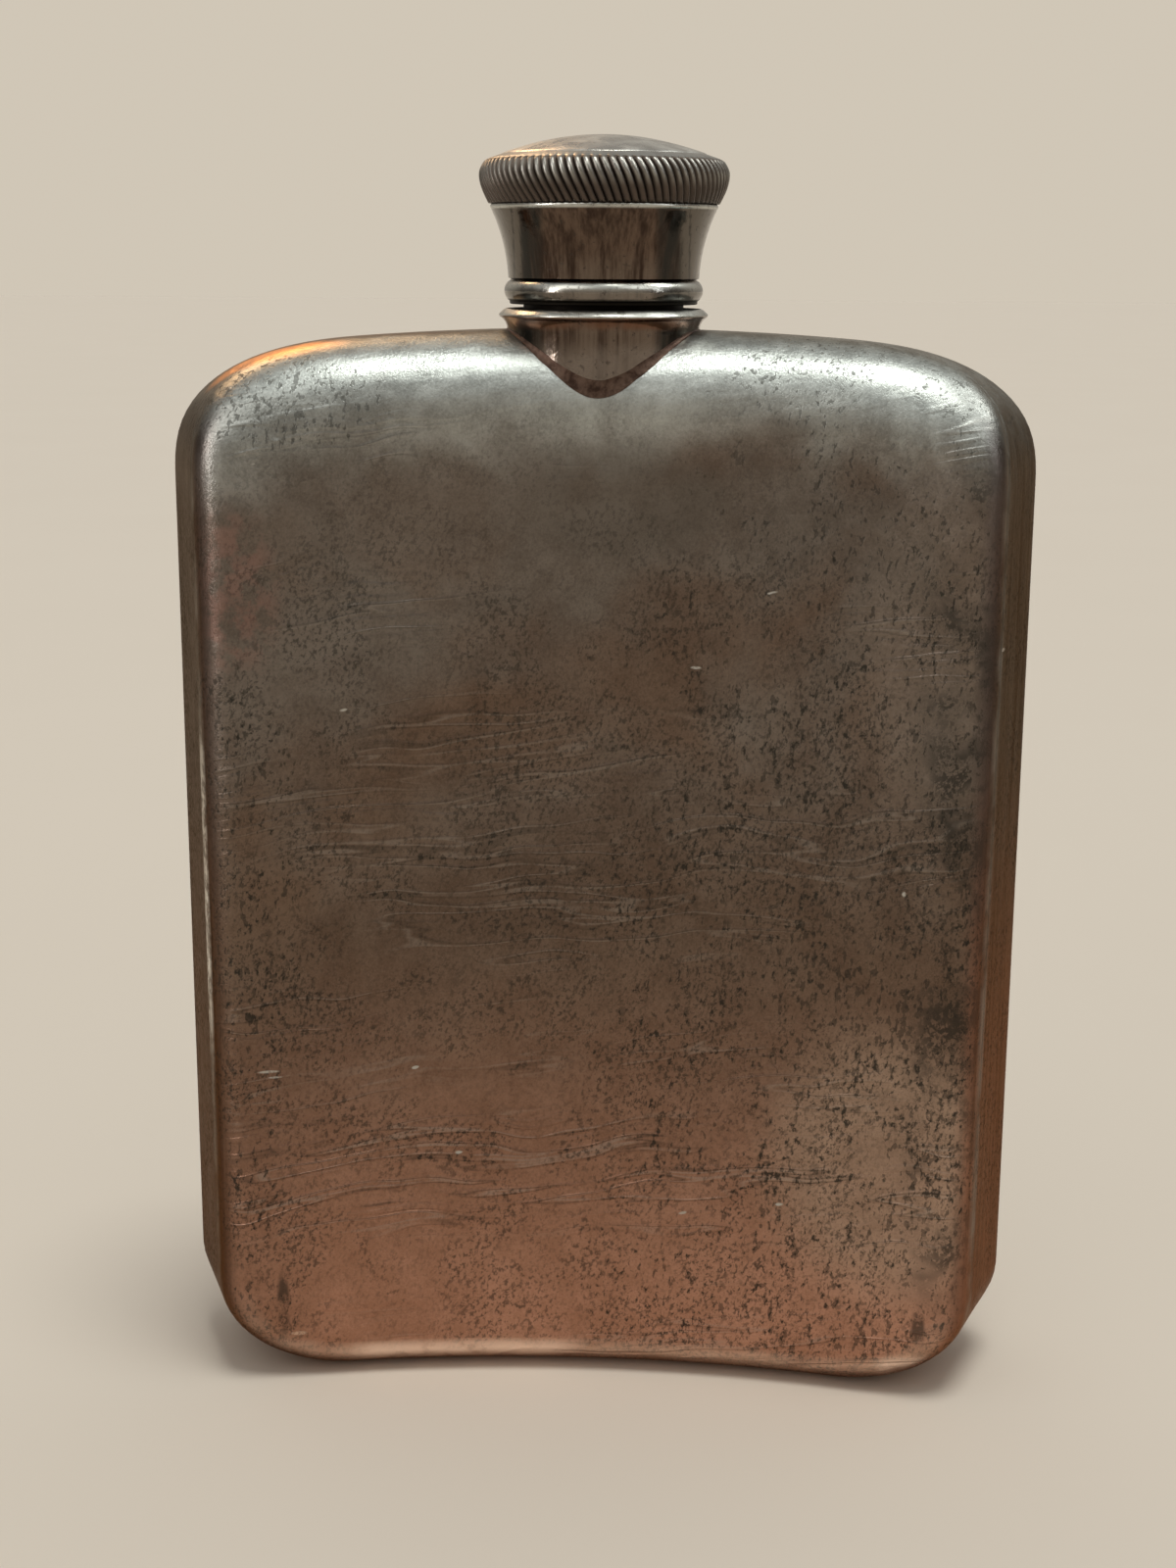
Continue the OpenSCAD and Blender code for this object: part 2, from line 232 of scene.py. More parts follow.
# Colours of the pewter, in linear RGB. A pair runs from its dark end to its light one.
BROWN = (0.105, 0.067, 0.047), (0.175, 0.119, 0.086)
COOL = (0.12, 0.103, 0.088), (0.205, 0.182, 0.16)
SHOULDER_HIGHLIGHT_GREY = (0.27, 0.28, 0.262), (0.52, 0.545, 0.52)
RUDDY_REFLECTION = (0.36, 0.185, 0.12), (0.54, 0.29, 0.2)
PALE = (0.17, 0.14, 0.115), (0.27, 0.22, 0.185)
ASHEN = (0.33, 0.24, 0.18), (0.5, 0.37, 0.28)
LOW_LEFT_SHADE, DUSKY, BLUSH = (0.13, 0.075, 0.05), (0.1, 0.085, 0.07), (0.3, 0.15, 0.12)
SIDE_SHADE = (0.05, 0.042, 0.036), (0.115, 0.1, 0.086)
SIDE_LOW_LEFT_REFLECTION = (0.07, 0.036, 0.023), (0.11, 0.062, 0.041)
SIDE_LOW_RIGHT_REFLECTION = (0.165, 0.075, 0.046), (0.25, 0.115, 0.072)
PLUM, RIPPLE_HIGHLIGHT, GRIME_AND_SHADE = (0.075, 0.052, 0.045), (0.36, 0.32, 0.28), (0.028, 0.026, 0.021)
COPPER_REFLECTION, REAR_REFLECTION = (0.95, 0.52, 0.27), (0.21, 0.15, 0.11)
GREY_WEAR_AND_HIGHLIGHT, WARM_WEAR_AND_HIGHLIGHT = (0.5, 0.48, 0.44), (0.62, 0.43, 0.32)
GLINT, RUBBED_ROLL_HIGHLIGHT = (1.0, 0.97, 0.9), (1.0, 0.78, 0.65)

# The larger nicks on the front: their centres and half their sizes
NICKS = (((-36.3, -15, 38), (0.7, 4, 0.1)), ((-35.6, -15, 37.3), (0.45, 4, 0.07)),
         ((33.8, -15, 60), (0.13, 4, 0.2)), ((10.8, -12, 84), (0.35, 4, 0.1)),
         ((-33.8, -15, 5.8), (0.55, 4, 0.16)))


class Pewter(Shader):
    """The body's shader, with the noises and shares that the parts of its look have in common."""

    def __init__(self):
        super().__init__("aged_pewter", Metallic=1, Specular_Tint=(0.5, 0.42, 0.36, 1))
        self.wear, self.flank, self.lip = (self.attribute(name) for name in ("wear", "flank", "lip"))
        self.face = self.inverse(self.flank)
        self.clouds = self.noise(0.045, 4, 0.55, warp=0.8)
        self.mottle = self.noise(0.4, 5, 0.62)
        self.grain = self.noise(3.6, 3, 0.7)
        self.leather = self.noise(2.2, 3, 0.7, self.stretched((1, 1, 0.72), (0, 0.4, 0)))
        self.tone = self.fit(self.add(self.times(self.clouds, 0.42), self.times(self.mottle, 0.28),
                                      self.times(self.grain, 0.3)), 0.35, 0.65)


def patina(s):
    """Brown and greenish grey clouds, with painted light: a light grey highlight on the shoulder, a redder
    and lighter reflection at the foot, and shade low on the left.
    """
    upper = s.fit(s.add(s.z, s.times(s.clouds, 40)), 70, 115, 0.1, 0.8)
    upper = s.times(upper, s.fit(s.noise(0.035, 3, 0.5, warp=0.5), 0.38, 0.6))
    upper_left = s.times(s.fit(s.z, 84, 98), s.fit(s.x, 0, -12), 0.65)
    s.colour = s.mix(s.most(upper, upper_left), s.mix(s.tone, *BROWN), s.mix(s.tone, *COOL))
    # painted highlight: lighter grey along the shoulder, reaching lower at the corners, where its highlight
    # falls
    drop = s.times(s.x, s.x, 0.0031)
    shoulder = s.fit(s.add(s.z, drop, s.times(s.clouds, 16)), 112.5, 125.5)
    s.paint(shoulder, s.mix(s.tone, *SHOULDER_HIGHLIGHT_GREY))
    # painted reflection: redder and lighter towards the foot, less so on the back
    low = s.times(s.fit(s.add(s.z, s.times(s.clouds, 12)), 62, 6), s.fit(s.y, 4, -6, 0.4, 1))
    s.paint(low, s.mix(s.tone, *RUDDY_REFLECTION))
    # painted shade: darker low on the left
    low_left = s.times(s.fit(s.x, -28, -40), s.fit(s.z, 55, 30), 0.3)
    s.paint(low_left, LOW_LEFT_SHADE)


def patches(s):
    """Single paler, darker and redder patches on the front."""
    s.dab(s.mix(s.tone, *PALE), (36.5, -14, 86), (5, 7, 13), 0.65)
    s.dab(DUSKY, (3, -10, 102), (7, 6, 4), 0.4)
    s.dab(s.mix(s.tone, *ASHEN), (33.5, -15, 28), (9, 7, 10), 0.6)
    s.dab(BLUSH, (-39, -12, 92), (3.2, 8, 6), s.fit(s.mottle, 0.42, 0.6), 0.4)


def sides(s):
    """Sides darkened with painted shade, with upright streaks, plum on the front roll, and redder painted
    reflections low down.
    """
    streak = s.fit(s.noise(1, 3, 0.6, s.stretched((1.5, 1.5, 0.03))), 0.36, 0.64)
    wall = s.mix(s.fit(s.y, -13, -13.9), s.mix(streak, *SIDE_SHADE), PLUM)
    low_wall = s.mix(s.fit(s.x, -10, 10), s.mix(streak, *SIDE_LOW_LEFT_REFLECTION), s.mix(streak, *SIDE_LOW_RIGHT_REFLECTION))
    # painted shade over the sides, and painted reflections low on them
    s.paint(s.times(s.flank, 0.85), s.mix(s.fit(s.z, 82, 35), wall, low_wall))


def ripples(s):
    """The field of the ripples, which run along the width and rise to the right, and where they show."""
    field = s.noise(1, 2, 0.5, s.stretched((0.022, 0.06, 0.34), (0, -0.1, 0), s.shaken(6, 0.045)))
    patch = s.fit(s.noise(0.055, 2, 0.5, s.stretched((0.6, 1, 1.6))), 0.47, 0.6)
    foot = s.fit(s.apart(s.z, 25), 9, 5)
    shown = s.times(s.most(s.times(patch, 0.75), foot), s.fit(s.mottle, 0.34, 0.5, 0.3, 1), s.face,
                    s.fit(s.apart(s.x), 44, 39))
    return field, shown


def pits(s):
    """Worm-shaped pits: more of them to the right and near the left edge."""
    right = s.fit(s.x, -10, 38)
    left = s.times(s.fit(s.x, -28, -42), s.fit(s.z, 95, 60))
    low = s.fit(s.z, 112, 60, 0.35, 1)
    field = s.fit(s.noise(0.085, 3, 0.6, warp=0.6), 0.3, 0.62)
    crowd = s.times(s.add(0.06, s.times(right, 0.85), s.times(left, 0.75)), low, field, s.face)
    crowd = s.add(crowd, s.times(s.near((-34, -10, 112), (7, 7, 3)), 0.6))
    rows = s.noise(1, 2, 0.5, s.stretched((0.8, 0.8, 0.1)))
    worm = s.noise(1.9, 2, 0.6, s.stretched((1, 1, 0.5), (0, 0.15, 0), s.shaken(0.5, 1.2)))
    worm = s.add(worm, s.times(crowd, 0.1), s.times(crowd, s.math("SUBTRACT", rows, 0.5), 0.35))
    return s.times(s.fit(worm, 0.6, 0.67), s.fit(crowd, 0.02, 0.2))


def marks(s, ripple_shade):
    """Pits, leathery skin, small stains, the ripples' painted shade lines and a few scratches at the
    upper right.
    """
    skin_patches = s.fit(s.noise(0.13, 3, 0.6, warp=0.5), 0.38, 0.6, 0.3, 1)
    skin = s.times(s.fit(s.leather, 0.52, 0.38), skin_patches, s.fit(s.z, 112, 84, 0.3, 1))
    stain = s.times(s.dots(0.34, s.shaken(1.6, 0.7), 0.16, 0.3, 0.25), s.fit(s.mottle, 0.5, 0.62))
    scores = s.noise(1, 2, 0.5, s.stretched((0.09, 0.5, 1.3), (0, -0.75, 0)))
    scratch = s.times(s.fit(scores, 0.66, 0.72), s.near((40, -9, 110), (4, 9, 4)))
    return s.add(s.times(pits(s), 0.55), s.times(skin, 0.62), s.times(stain, 0.25), s.times(ripple_shade, 0.45),
                 s.times(scratch, 0.35))


def grime(s):
    """Grime just inside the right side, at the foot's corners and in the seam."""
    edge = s.times(s.fit(s.apart(s.x, 39), 5.6, 1), s.fit(s.z, 6, 16), s.fit(s.z, 109, 101, 0.3, 1),
                   s.fit(s.noise(0.11, 3, 0.6, warp=0.4), 0.42, 0.58))
    edge = s.times(edge, s.add(0.25, s.times(s.fit(s.add(s.leather, s.mottle), 0.94, 1.06), 0.75)))
    corners = s.most(s.near((37.2, -14, 8.6), (0.5, 6, 2.2)),
                     s.near((-35.4, -14, 9.6), (0.45, 6, 2.6)))
    corners = s.times(corners, s.fit(s.add(s.mottle, s.times(s.leather, 0.6)), 0.68, 0.88))
    return s.most(s.times(edge, 0.8), s.times(corners, 0.75), s.times(s.lip, 0.85))


def copper_tarnish_and_reflection(s):
    """A copper-coloured patch on the left of the shoulder, behind its highlight: a painted warm reflection
    that also reads as copper tarnish, with a painted brown reflection along the back of the shoulder's top.
    """
    # painted brown reflection at the back of the shoulder's top, on the left
    rear = s.times(s.fit(s.z, 112, 115), s.fit(s.y, -5.6, -3.8), s.fit(s.x, -6, -22))
    s.paint(s.times(rear, 0.6), REAR_REFLECTION)
    # painted warm reflection, copper-coloured
    patchy = s.fit(s.add(s.mottle, s.times(s.grain, 0.5)), 0.48, 0.72)
    s.dab(COPPER_REFLECTION, (-35.5, -6.2, 115.7), (6, 1.9, 2.3), patchy, 0.9)


def nicks(s):
    """Small bright nicks all over, and the larger ones of the front."""
    found = s.dots(0.085, s.shaken(1.2, 0.5, s.stretched((1, 1, 2.6), (0, -0.2, 0))), 0.3, 0.055, 0.02)
    for centre, radii in NICKS:
        found = s.most(found, s.times(s.near(centre, radii), s.fit(s.grain, 0.4, 0.5, 0.4, 1)))
    return found


def worn_bright(s, nick):
    """Bright metal: abraded edges and nicks, with painted highlights along the side edges, painted glints
    on the left, and a painted highlight on the lower roll in two stretches, partly abrasion.
    """
    # the stretch of the left seam that gets a painted highlight
    seam_wear_and_highlight = s.times(s.fit(s.x, -30, -44), s.fit(s.apart(s.z, 58), 24, 10))
    seam = s.inverse(s.times(s.flank, s.fit(seam_wear_and_highlight, 0, 1, 0.4, 0)))
    worn_and_highlight = s.times(s.wear, seam, s.fit(s.noise(0.16, 3, 0.6), 0.35, 0.65, 0.15, 1))
    # edges and nicks painted bright: abrasion, and on the side edges and lower roll also painted highlight
    bright = s.mix(s.fit(s.z, 14, 5), GREY_WEAR_AND_HIGHLIGHT, WARM_WEAR_AND_HIGHLIGHT)
    s.paint(s.most(s.times(worn_and_highlight, 0.6), s.times(nick, 0.9)), bright)
    # painted glints on the left, and a painted highlight along the left seam
    glint = s.times(s.dots(0.75, s.shaken(0.8, 1.4, s.stretched((1, 1, 1.6))), 0.3, 0.2, 0.08),
                    s.near((-35, -11, 110.5), (3.2, 6, 3)))
    sparkle = s.times(s.wear, s.flank, seam_wear_and_highlight, s.fit(s.noise(0.5, 3, 0.7), 0.4, 0.6, 0.15, 1))
    s.paint(s.most(sparkle, glint), GLINT)
    # painted highlight on the lower roll, in two stretches, partly abrasion
    stretches = s.most(s.fit(s.apart(s.x, -15), 17, 8), s.fit(s.apart(s.x, 37.5), 6, 3))
    rubbed_and_highlight = s.times(s.wear, s.fit(s.z, 6, 4), s.fit(stretches, 0, 1, 0.2, 0.9),
                     s.fit(s.mottle, 0.3, 0.5, 0.6, 1))
    s.paint(rubbed_and_highlight, RUBBED_ROLL_HIGHLIGHT)


def pewter():
    """Aged pewter: brown patina over grey, leathery grain, pits, ripples, grime and bright abraded edges,
    with painted highlights, reflections and shade.
    """
    s = Pewter()
    ripple, shown = ripples(s)
    # painted light on each ripple: a highlight line, and just beside it a line of painted shade
    line = s.times(s.lines(ripple, 0.016), shown)
    ripple_shade = s.times(s.lines(s.add(ripple, 0.026), 0.016), shown)
    dark = s.math("MINIMUM", s.most(marks(s, ripple_shade), grime(s)), 0.9)
    nick = nicks(s)
    patina(s)
    patches(s)
    sides(s)
    s.paint(s.times(line, 0.34), RIPPLE_HIGHLIGHT)
    # dark marks: pits, skin, stains, grime, scratches, and the ripples' painted shade
    s.paint(dark, GRIME_AND_SHADE)
    copper_tarnish_and_reflection(s)
    worn_bright(s, nick)
    rough = s.add(s.fit(s.mottle, 0.3, 0.7, 0.27, 0.34), s.times(s.grain, 0.06), s.times(dark, 0.25))
    normal = s.bump(s.add(s.grain, s.leather), 0.026, 0.9)
    normal = s.bump(s.inverse(s.add(dark, s.times(nick, 0.6))), 0.02, 0.9, normal)
    normal = s.bump(s.times(s.add(ripple, s.times(line, 0.1)), s.face), 0.2, 0.7, normal)
    folds = s.fit(s.math("SINE", s.times(ripple, 42)), -0.6, 1)
    normal = s.bump(s.times(folds, shown), 0.09, 0.8, normal)
    brushed = s.times(s.noise(1, 3, 0.6, s.stretched((2.4, 2.4, 0.035))), s.flank)
    return s.finished(rough, s.bump(brushed, 0.03, 0.9, normal))


def polished():
    """Smoked mirror finish: upright streaks, part tarnish and part painted reflection, small dark spots,
    painted reflections in bands and in the cove, painted highlights on edges, and painted shade under the
    cap.
    """
    s = Shader("polished_metal", Metallic=1)
    wear = s.attribute("wear")
    tarnish = s.noise(0.25, 4, 0.6, warp=0.8)
    streak = s.noise(1, 3, 0.6, s.stretched((0.6, 0.6, 0.03)))
    fine_streak = s.noise(1, 3, 0.65, s.stretched((2.2, 2.2, 0.06)))
    spots = s.fit(s.noise(1.8, 3, 0.6), 0.6, 0.7)
    # upright streaks: part tarnish, part painted reflections
    streaks_and_reflection = s.fit(s.add(s.times(streak, 0.5), s.times(fine_streak, 0.35), s.times(tarnish, 0.15)), 0.4, 0.62)
    s.colour = s.mix(streaks_and_reflection, (0.042, 0.027, 0.02), (0.125, 0.085, 0.062))
    # painted reflection: lighter from the cap's lower waist down, and again on the collar's drum
    s.paint(s.times(s.fit(s.z, 128.5, 125), streaks_and_reflection, 0.5), (0.17, 0.14, 0.115))
    cone = s.times(s.fit(s.z, 119, 116.8), s.fit(tarnish, 0.3, 0.6, 0.3, 0.65))
    s.paint(cone, (0.23, 0.195, 0.17))
    # painted reflections in bands towards the sides: dark, then lighter metal, then a dark line
    side = s.math("ABSOLUTE", s.add(s.x, s.times(fine_streak, 0.8), -0.4))
    dark_reflection_band = s.times(s.fit(side, 5.6, 6.6), s.fit(streak, 0.35, 0.6, 0.5, 1))
    s.paint(dark_reflection_band, (0.034, 0.031, 0.027))
    s.paint(s.times(s.fit(side, 8.2, 8.8), 0.85), (0.145, 0.125, 0.104))
    s.paint(s.times(s.lines(s.fit(side, 8.9, 9.9), 0.22), 0.75), (0.04, 0.034, 0.028))
    # a rust-coloured painted reflection in the collar's cove, painted highlights on the edges, dark spots,
    # and painted shade, near black, in the gap under the cap
    cove_reflection = s.times(s.fit(s.z, 119.4, 120.3), s.fit(s.z, 121.3, 121), s.fit(tarnish, 0.3, 0.6, 0.4, 0.9))
    s.paint(cove_reflection, (0.15, 0.075, 0.045))
    # painted highlights where wear is set: the flange's top, the bead's upper half, the trim
    s.paint(s.times(wear, s.fit(tarnish, 0.3, 0.6, 0.6, 1)), (0.5, 0.5, 0.46))
    s.paint(s.times(spots, 0.55), (0.05, 0.04, 0.032))
    radius = s.length(s.stretched((1, 1, 0)))
    # painted shade: near black in the gap between the cap's bead and the collar
    gap = s.times(s.fit(radius, 10.75, 10.45), s.fit(s.z, 121.5, 121.65), s.fit(s.z, 122.9, 122.6))
    s.paint(gap, (0.012, 0.01, 0.008))
    rough = s.add(s.fit(tarnish, 0.3, 0.7, 0.09, 0.16), s.times(wear, 0.16), s.times(spots, 0.2),
                  s.times(gap, 0.4))
    return s.finished(rough, s.bump(fine_streak, 0.02, 0.6, s.bump(tarnish, 0.12, 0.5)))


def satin(name, light, shade, rough):
    """Abraded satin metal: cloudy tone, fine specks and grain, and low on the neck painted shade under the
    cap, partly grime.
    """
    s = Shader(name, Metallic=1)
    tone = s.noise(0.3, 5, 0.6, warp=0.5)
    specks = s.fit(s.noise(2, 4, 0.7), 0.56, 0.68)
    s.colour = s.mix(s.fit(tone, 0.32, 0.68), shade, light)
    s.paint(s.times(specks, 0.6), tuple(v * 0.3 for v in shade))
    # painted shade under the cap, partly grime, low on the neck
    gap_shade_and_grime = s.fit(s.z, 123.6, 122.6)
    s.paint(gap_shade_and_grime, (0.015, 0.012, 0.01))
    uneven = s.add(s.fit(tone, 0.3, 0.7, rough - 0.06, rough + 0.08), s.times(specks, 0.2),
                   s.times(gap_shade_and_grime, 0.3))
    return s.finished(uneven, s.bump(s.noise(3, 4, 0.6), 0.03, 0.7))


def knurled():
    """Dark grooves and bright ridges, abraded and partly painted highlight, brightest near the top as painted
    light.
    """
    s = Shader("knurled_metal", Metallic=1)
    worn_and_highlight = s.times(s.fit(s.attribute("crest"), 0.6, 1), s.fit(s.noise(0.4, 4, 0.6), 0.3, 0.6, 0.45, 1))
    # painted highlight: ridges lighter near the top, darker low down
    height = s.add(s.z, s.times(s.noise(0.3, 3), 1.2), -0.6)
    rubbed_and_highlight = s.mix(s.fit(height, 134.2, 136.4), (0.095, 0.073, 0.06), (0.35, 0.34, 0.31))
    s.colour = s.mix(worn_and_highlight, (0.075, 0.06, 0.05), rubbed_and_highlight)
    return s.finished(s.fit(worn_and_highlight, 0, 1, 0.5, 0.28), s.bump(s.noise(3, 4, 0.6), 0.04, 0.6))


def solder():
    s = Shader("dull_solder", Metallic=0.9)
    tone = s.noise(0.9, 4, 0.6)
    s.colour = s.mix(s.fit(tone, 0.35, 0.65), (0.045, 0.025, 0.018), (0.11, 0.07, 0.052))
    return s.finished(s.fit(tone, 0.3, 0.7, 0.35, 0.55), s.bump(s.noise(1.6, 4, 0.6), 0.1, 0.8))


def cork():
    s = Shader("natural_cork")
    grain = s.noise(0.9, 6, 0.65, warp=0.4)
    seams = s.node("ShaderNodeTexVoronoi", {"Vector": s.place, "Scale": 1.3}).outputs["Distance"]
    holes = s.fit(s.noise(0.7, 3, 0.7), 0.6, 0.68)
    s.colour = s.mix(s.fit(grain, 0.3, 0.7), (0.33, 0.185, 0.09), (0.58, 0.38, 0.22))
    s.paint(s.fit(seams, 0, 0.5, 0.25, 0), (0.22, 0.12, 0.06))
    s.paint(holes, (0.09, 0.045, 0.025))
    return s.finished(s.fit(grain, 0.3, 0.7, 0.7, 0.95), s.bump(s.math("SUBTRACT", grain, holes), 0.3, 0.7))


# The materials, by the record's slots
MATERIALS = {
    "body": pewter(),
    "polished": polished(),
    "solder": solder(),
    "knurl": knurled(),
    "dome": satin("dome_metal", (0.56, 0.55, 0.51), (0.37, 0.345, 0.31), 0.3),
    "neck": satin("worn_plate", (0.55, 0.52, 0.46), (0.36, 0.33, 0.28), 0.28),
    "pin_steel": satin("plain_steel", (0.42, 0.42, 0.41), (0.28, 0.28, 0.27), 0.34),
    "cork": cork()}

# ---- Mesh helpers ----

SHARP_ANGLE = math.radians(38)


def link_mesh(name, mesh):
    made = bpy.data.objects.new(name, mesh)
    bpy.context.scene.collection.objects.link(made)
    return made


def make(name, points, faces, values=None):
    """A mesh object from points in millimetres. values holds float attributes, one number per point."""
    mesh = bpy.data.meshes.new(name)
    mesh.from_pydata([Vector(p) * MM for p in points], [], faces)
    for key, numbers in (values or {}).items():
        layer = mesh.attributes.new(key, "FLOAT", "POINT")
        layer.data.foreach_set("value", numbers)
    work = bmesh.new()
    work.from_mesh(mesh)
    bmesh.ops.recalc_face_normals(work, faces=work.faces)
    work.to_mesh(mesh)
    work.free()
    mesh.update()
    return link_mesh(name, mesh)


def finish_piece(piece, body, node, slot):
    mesh = piece.data
    mesh.materials.clear()
    mesh.materials.append(MATERIALS[slot])
    mesh.shade_smooth()
    mesh.set_sharp_from_angle(angle=SHARP_ANGLE)
    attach(piece, body)
    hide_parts(node)


def cut(piece, cutters):
    """Subtracts closed meshes from piece, and removes them."""
    for cutter in cutters:
        step = piece.modifiers.new("cut", "BOOLEAN")
        step.operation = "DIFFERENCE"
        step.solver = "EXACT"
        step.object = cutter
    graph = bpy.context.evaluated_depsgraph_get()
    result = bpy.data.meshes.new_from_object(piece.evaluated_get(graph))
    piece.modifiers.clear()
    old, piece.data = piece.data, result
    result.name = piece.name
    bpy.data.meshes.remove(old)
    for cutter in cutters:
        mesh = cutter.data
        bpy.data.objects.remove(cutter)
        bpy.data.meshes.remove(mesh)


def arc(centre, radius, start, end, steps):
    """Points (r, z) on an arc, with angles in degrees from +r towards +z."""
    found = []
    for k in range(steps + 1):
        a = math.radians(start + (end - start) * k / steps)
        found.append((centre[0] + radius * math.cos(a), centre[1] + radius * math.sin(a)))
    return found


def polar(r, a, z):
    return r * math.cos(a), r * math.sin(a), z


def band(a, b):
    """The faces between two rings of as many points."""
    following = [(i, (i + 1) % len(a)) for i in range(len(a))]
    return [(a[i], a[j], b[j], b[i]) for i, j in following]


def turned(name, profile, segments, bottom=None, worn_and_highlight=None):
    """A solid of revolution about the Z axis from a closed profile of (r, z). A point at r 0 becomes one
    vertex. bottom(r, angle), if given, is the lowest height allowed there, and worn_and_highlight(r, z)
    the share of metal painted bright: abraded, or a painted highlight."""
    points, rows, wear = [], [], []
    for r, z in profile:
        around = segments if r else 1
        rows.append(list(range(len(points), len(points) + around)))
        wear += [worn_and_highlight(r, z) if worn_and_highlight else 0.0] * around
        for i in range(around):
            a = 2 * math.pi * i / around
            height = max(z, bottom(r, a)) if bottom else z
            points.append(polar(r, a, height))
    faces = []
    for k, low in enumerate(rows):
        high = rows[(k + 1) % len(rows)]
        if len(low) == 1 and len(high) == 1:
            continue
        for i in range(segments):
            j = (i + 1) % segments
            if len(low) == 1:
                faces.append((low[0], high[i], high[j]))
            elif len(high) == 1:
                faces.append((low[i], high[0], low[j]))
            else:
                faces.append((low[i], high[i], high[j], low[j]))
    return make(name, points, faces, {"wear": wear} if worn_and_highlight else None)


# ---- The body's shape: the same formulas as the CAD, sampled finely ----

BODY_W, BODY_H, BODY_T, BEND_R = 95.1, 119.6, 22.0, 160.0
WALL, CROWN = 1.2, 3.0
TOP_CORNER_W, TOP_CORNER_H, TOP_POWER = 21.5, 13.5, 2.8
FOOT_CORNER_W, FOOT_CORNER_H = 17.0, 12.0
SHOULDER_ROLL, FRONT_ROLL, BACK_ROLL, BASE_ROLL = 9.0, 4.0, 7.5, 5.0
LEAN = math.tan(math.radians(6))
HALF_T = BODY_T / 2
ROLL_START = HALF_T - BACK_ROLL
SIDE_TURN = math.asin(BODY_W / 2 / BEND_R)
WIDEST = HALF_T - BACK_ROLL * (1 - math.sin(SIDE_TURN))
HALF_S = BEND_R * math.asin((BODY_W / 2 + BACK_ROLL * (1 - math.cos(SIDE_TURN)) * math.cos(SIDE_TURN))
                            / (BEND_R + WIDEST))
FLAT_H = BODY_H - CROWN
ACROSS, UPWARD = 76, 92   # cells of each face's grid
DENSE = 240


def smooth(t):
    t = min(1.0, max(0.0, t))
    return t * t * (3 - 2 * t)


def bend(s, b, z):
    a = s / BEND_R
    return Vector(((BEND_R + b) * math.sin(a), (BEND_R + b) * math.cos(a) - BEND_R, z))


def right_side():
    """Right half of the outline as pieces: base, lower corner halves, side, upper corner halves, top."""
    def crowned(p):
        return Vector((p[0], p[1] + CROWN * (1 - (p[0] / HALF_S) ** 2) * (p[1] / FLAT_H) ** 4))

    def foot(t):
        return (HALF_S - FOOT_CORNER_W * (1 - math.sin(t)), FOOT_CORNER_H * (1 - math.cos(t)))

    def head(t):
        return (HALF_S - TOP_CORNER_W * (1 - math.cos(t) ** (2 / TOP_POWER)),
                FLAT_H - TOP_CORNER_H * (1 - math.sin(t) ** (2 / TOP_POWER)))

    steps = [k / DENSE for k in range(DENSE + 1)]
    quarter = math.pi / 2
    base = [(t * (HALF_S - FOOT_CORNER_W), 0) for t in steps]
    foot_a = [foot(t * quarter / 2) for t in steps]
    foot_b = [foot(quarter / 2 + t * quarter / 2) for t in steps]
    side = [(HALF_S, FOOT_CORNER_H + t * (FLAT_H - TOP_CORNER_H - FOOT_CORNER_H)) for t in steps]
    head_a = [head(t * t * quarter / 2) for t in steps]
    head_b = [head(quarter / 2 + (1 - (1 - t) ** 2) * quarter / 2 * (1 - 1e-9)) for t in steps]
    top = [((1 - t) * (HALF_S - TOP_CORNER_W), FLAT_H) for t in steps]
    return [[crowned(p) for p in part] for part in (base + foot_a, foot_b + side + head_a, head_b + top)]


def resampled(path, cells):
    """cells + 1 points at equal distances along path."""
    path = [p for k, p in enumerate(path) if k == 0 or (p - path[k - 1]).length > 1e-6]
    run = [0.0]
    for a, b in zip(path, path[1:]):
        run.append(run[-1] + (b - a).length)
    found, k = [], 0
    for i in range(cells + 1):
        want = run[-1] * i / cells
        while k < len(path) - 2 and run[k + 1] < want:
            k += 1
        t = (want - run[k]) / (run[k + 1] - run[k])
        found.append(path[k].lerp(path[k + 1], t))
    return found


def outline():
    """The unbent body's outline: its points, anticlockwise from the lower left, and outward normals."""
    lower, flank, upper = right_side()

    def mirrored(path):
        return [Vector((-p[0], p[1])) for p in reversed(path)]

    sides = [resampled(mirrored(lower) + lower[1:], ACROSS), resampled(flank, UPWARD),
             resampled(upper + mirrored(upper)[1:], ACROSS), resampled(mirrored(flank), UPWARD)]
    points = [p for side in sides for p in side[:-1]]
    count = len(points)
    normals = []
    for i in range(count):
        step = (points[(i + 1) % count] - points[i - 1]).normalized()
        normals.append(Vector((step[1], -step[0])))
    return points, normals


OUTLINE, NORMALS = outline()
COUNT = len(OUTLINE)
TOP_SHARE = [max(0.0, n[1]) ** 2 for n in NORMALS]
BASE_SHARE = [min(0.0, n[1]) ** 2 for n in NORMALS]
SIDE_SHARE = [1 - t - b for t, b in zip(TOP_SHARE, BASE_SHARE)]
ROLLS = {
    side: [SHOULDER_ROLL * t + BASE_ROLL * b + edge * s for t, b, s in zip(TOP_SHARE, BASE_SHARE, SIDE_SHARE)]
    for side, edge in ((-1, FRONT_ROLL), (1, BACK_ROLL))}
WALL_START = [HALF_T - roll for roll in ROLLS[1]]
SEAM_PLACE = [-HALF_T + roll for roll in ROLLS[-1]]


def flat_point(i, inset, b):
    lean = max(0.0, ROLL_START - b) * LEAN * SIDE_SHARE[i]
    return OUTLINE[i] - NORMALS[i] * (inset + lean)


def section(i, inset, b):
    p = flat_point(i, inset, b)
    return bend(p[0], b, p[1])


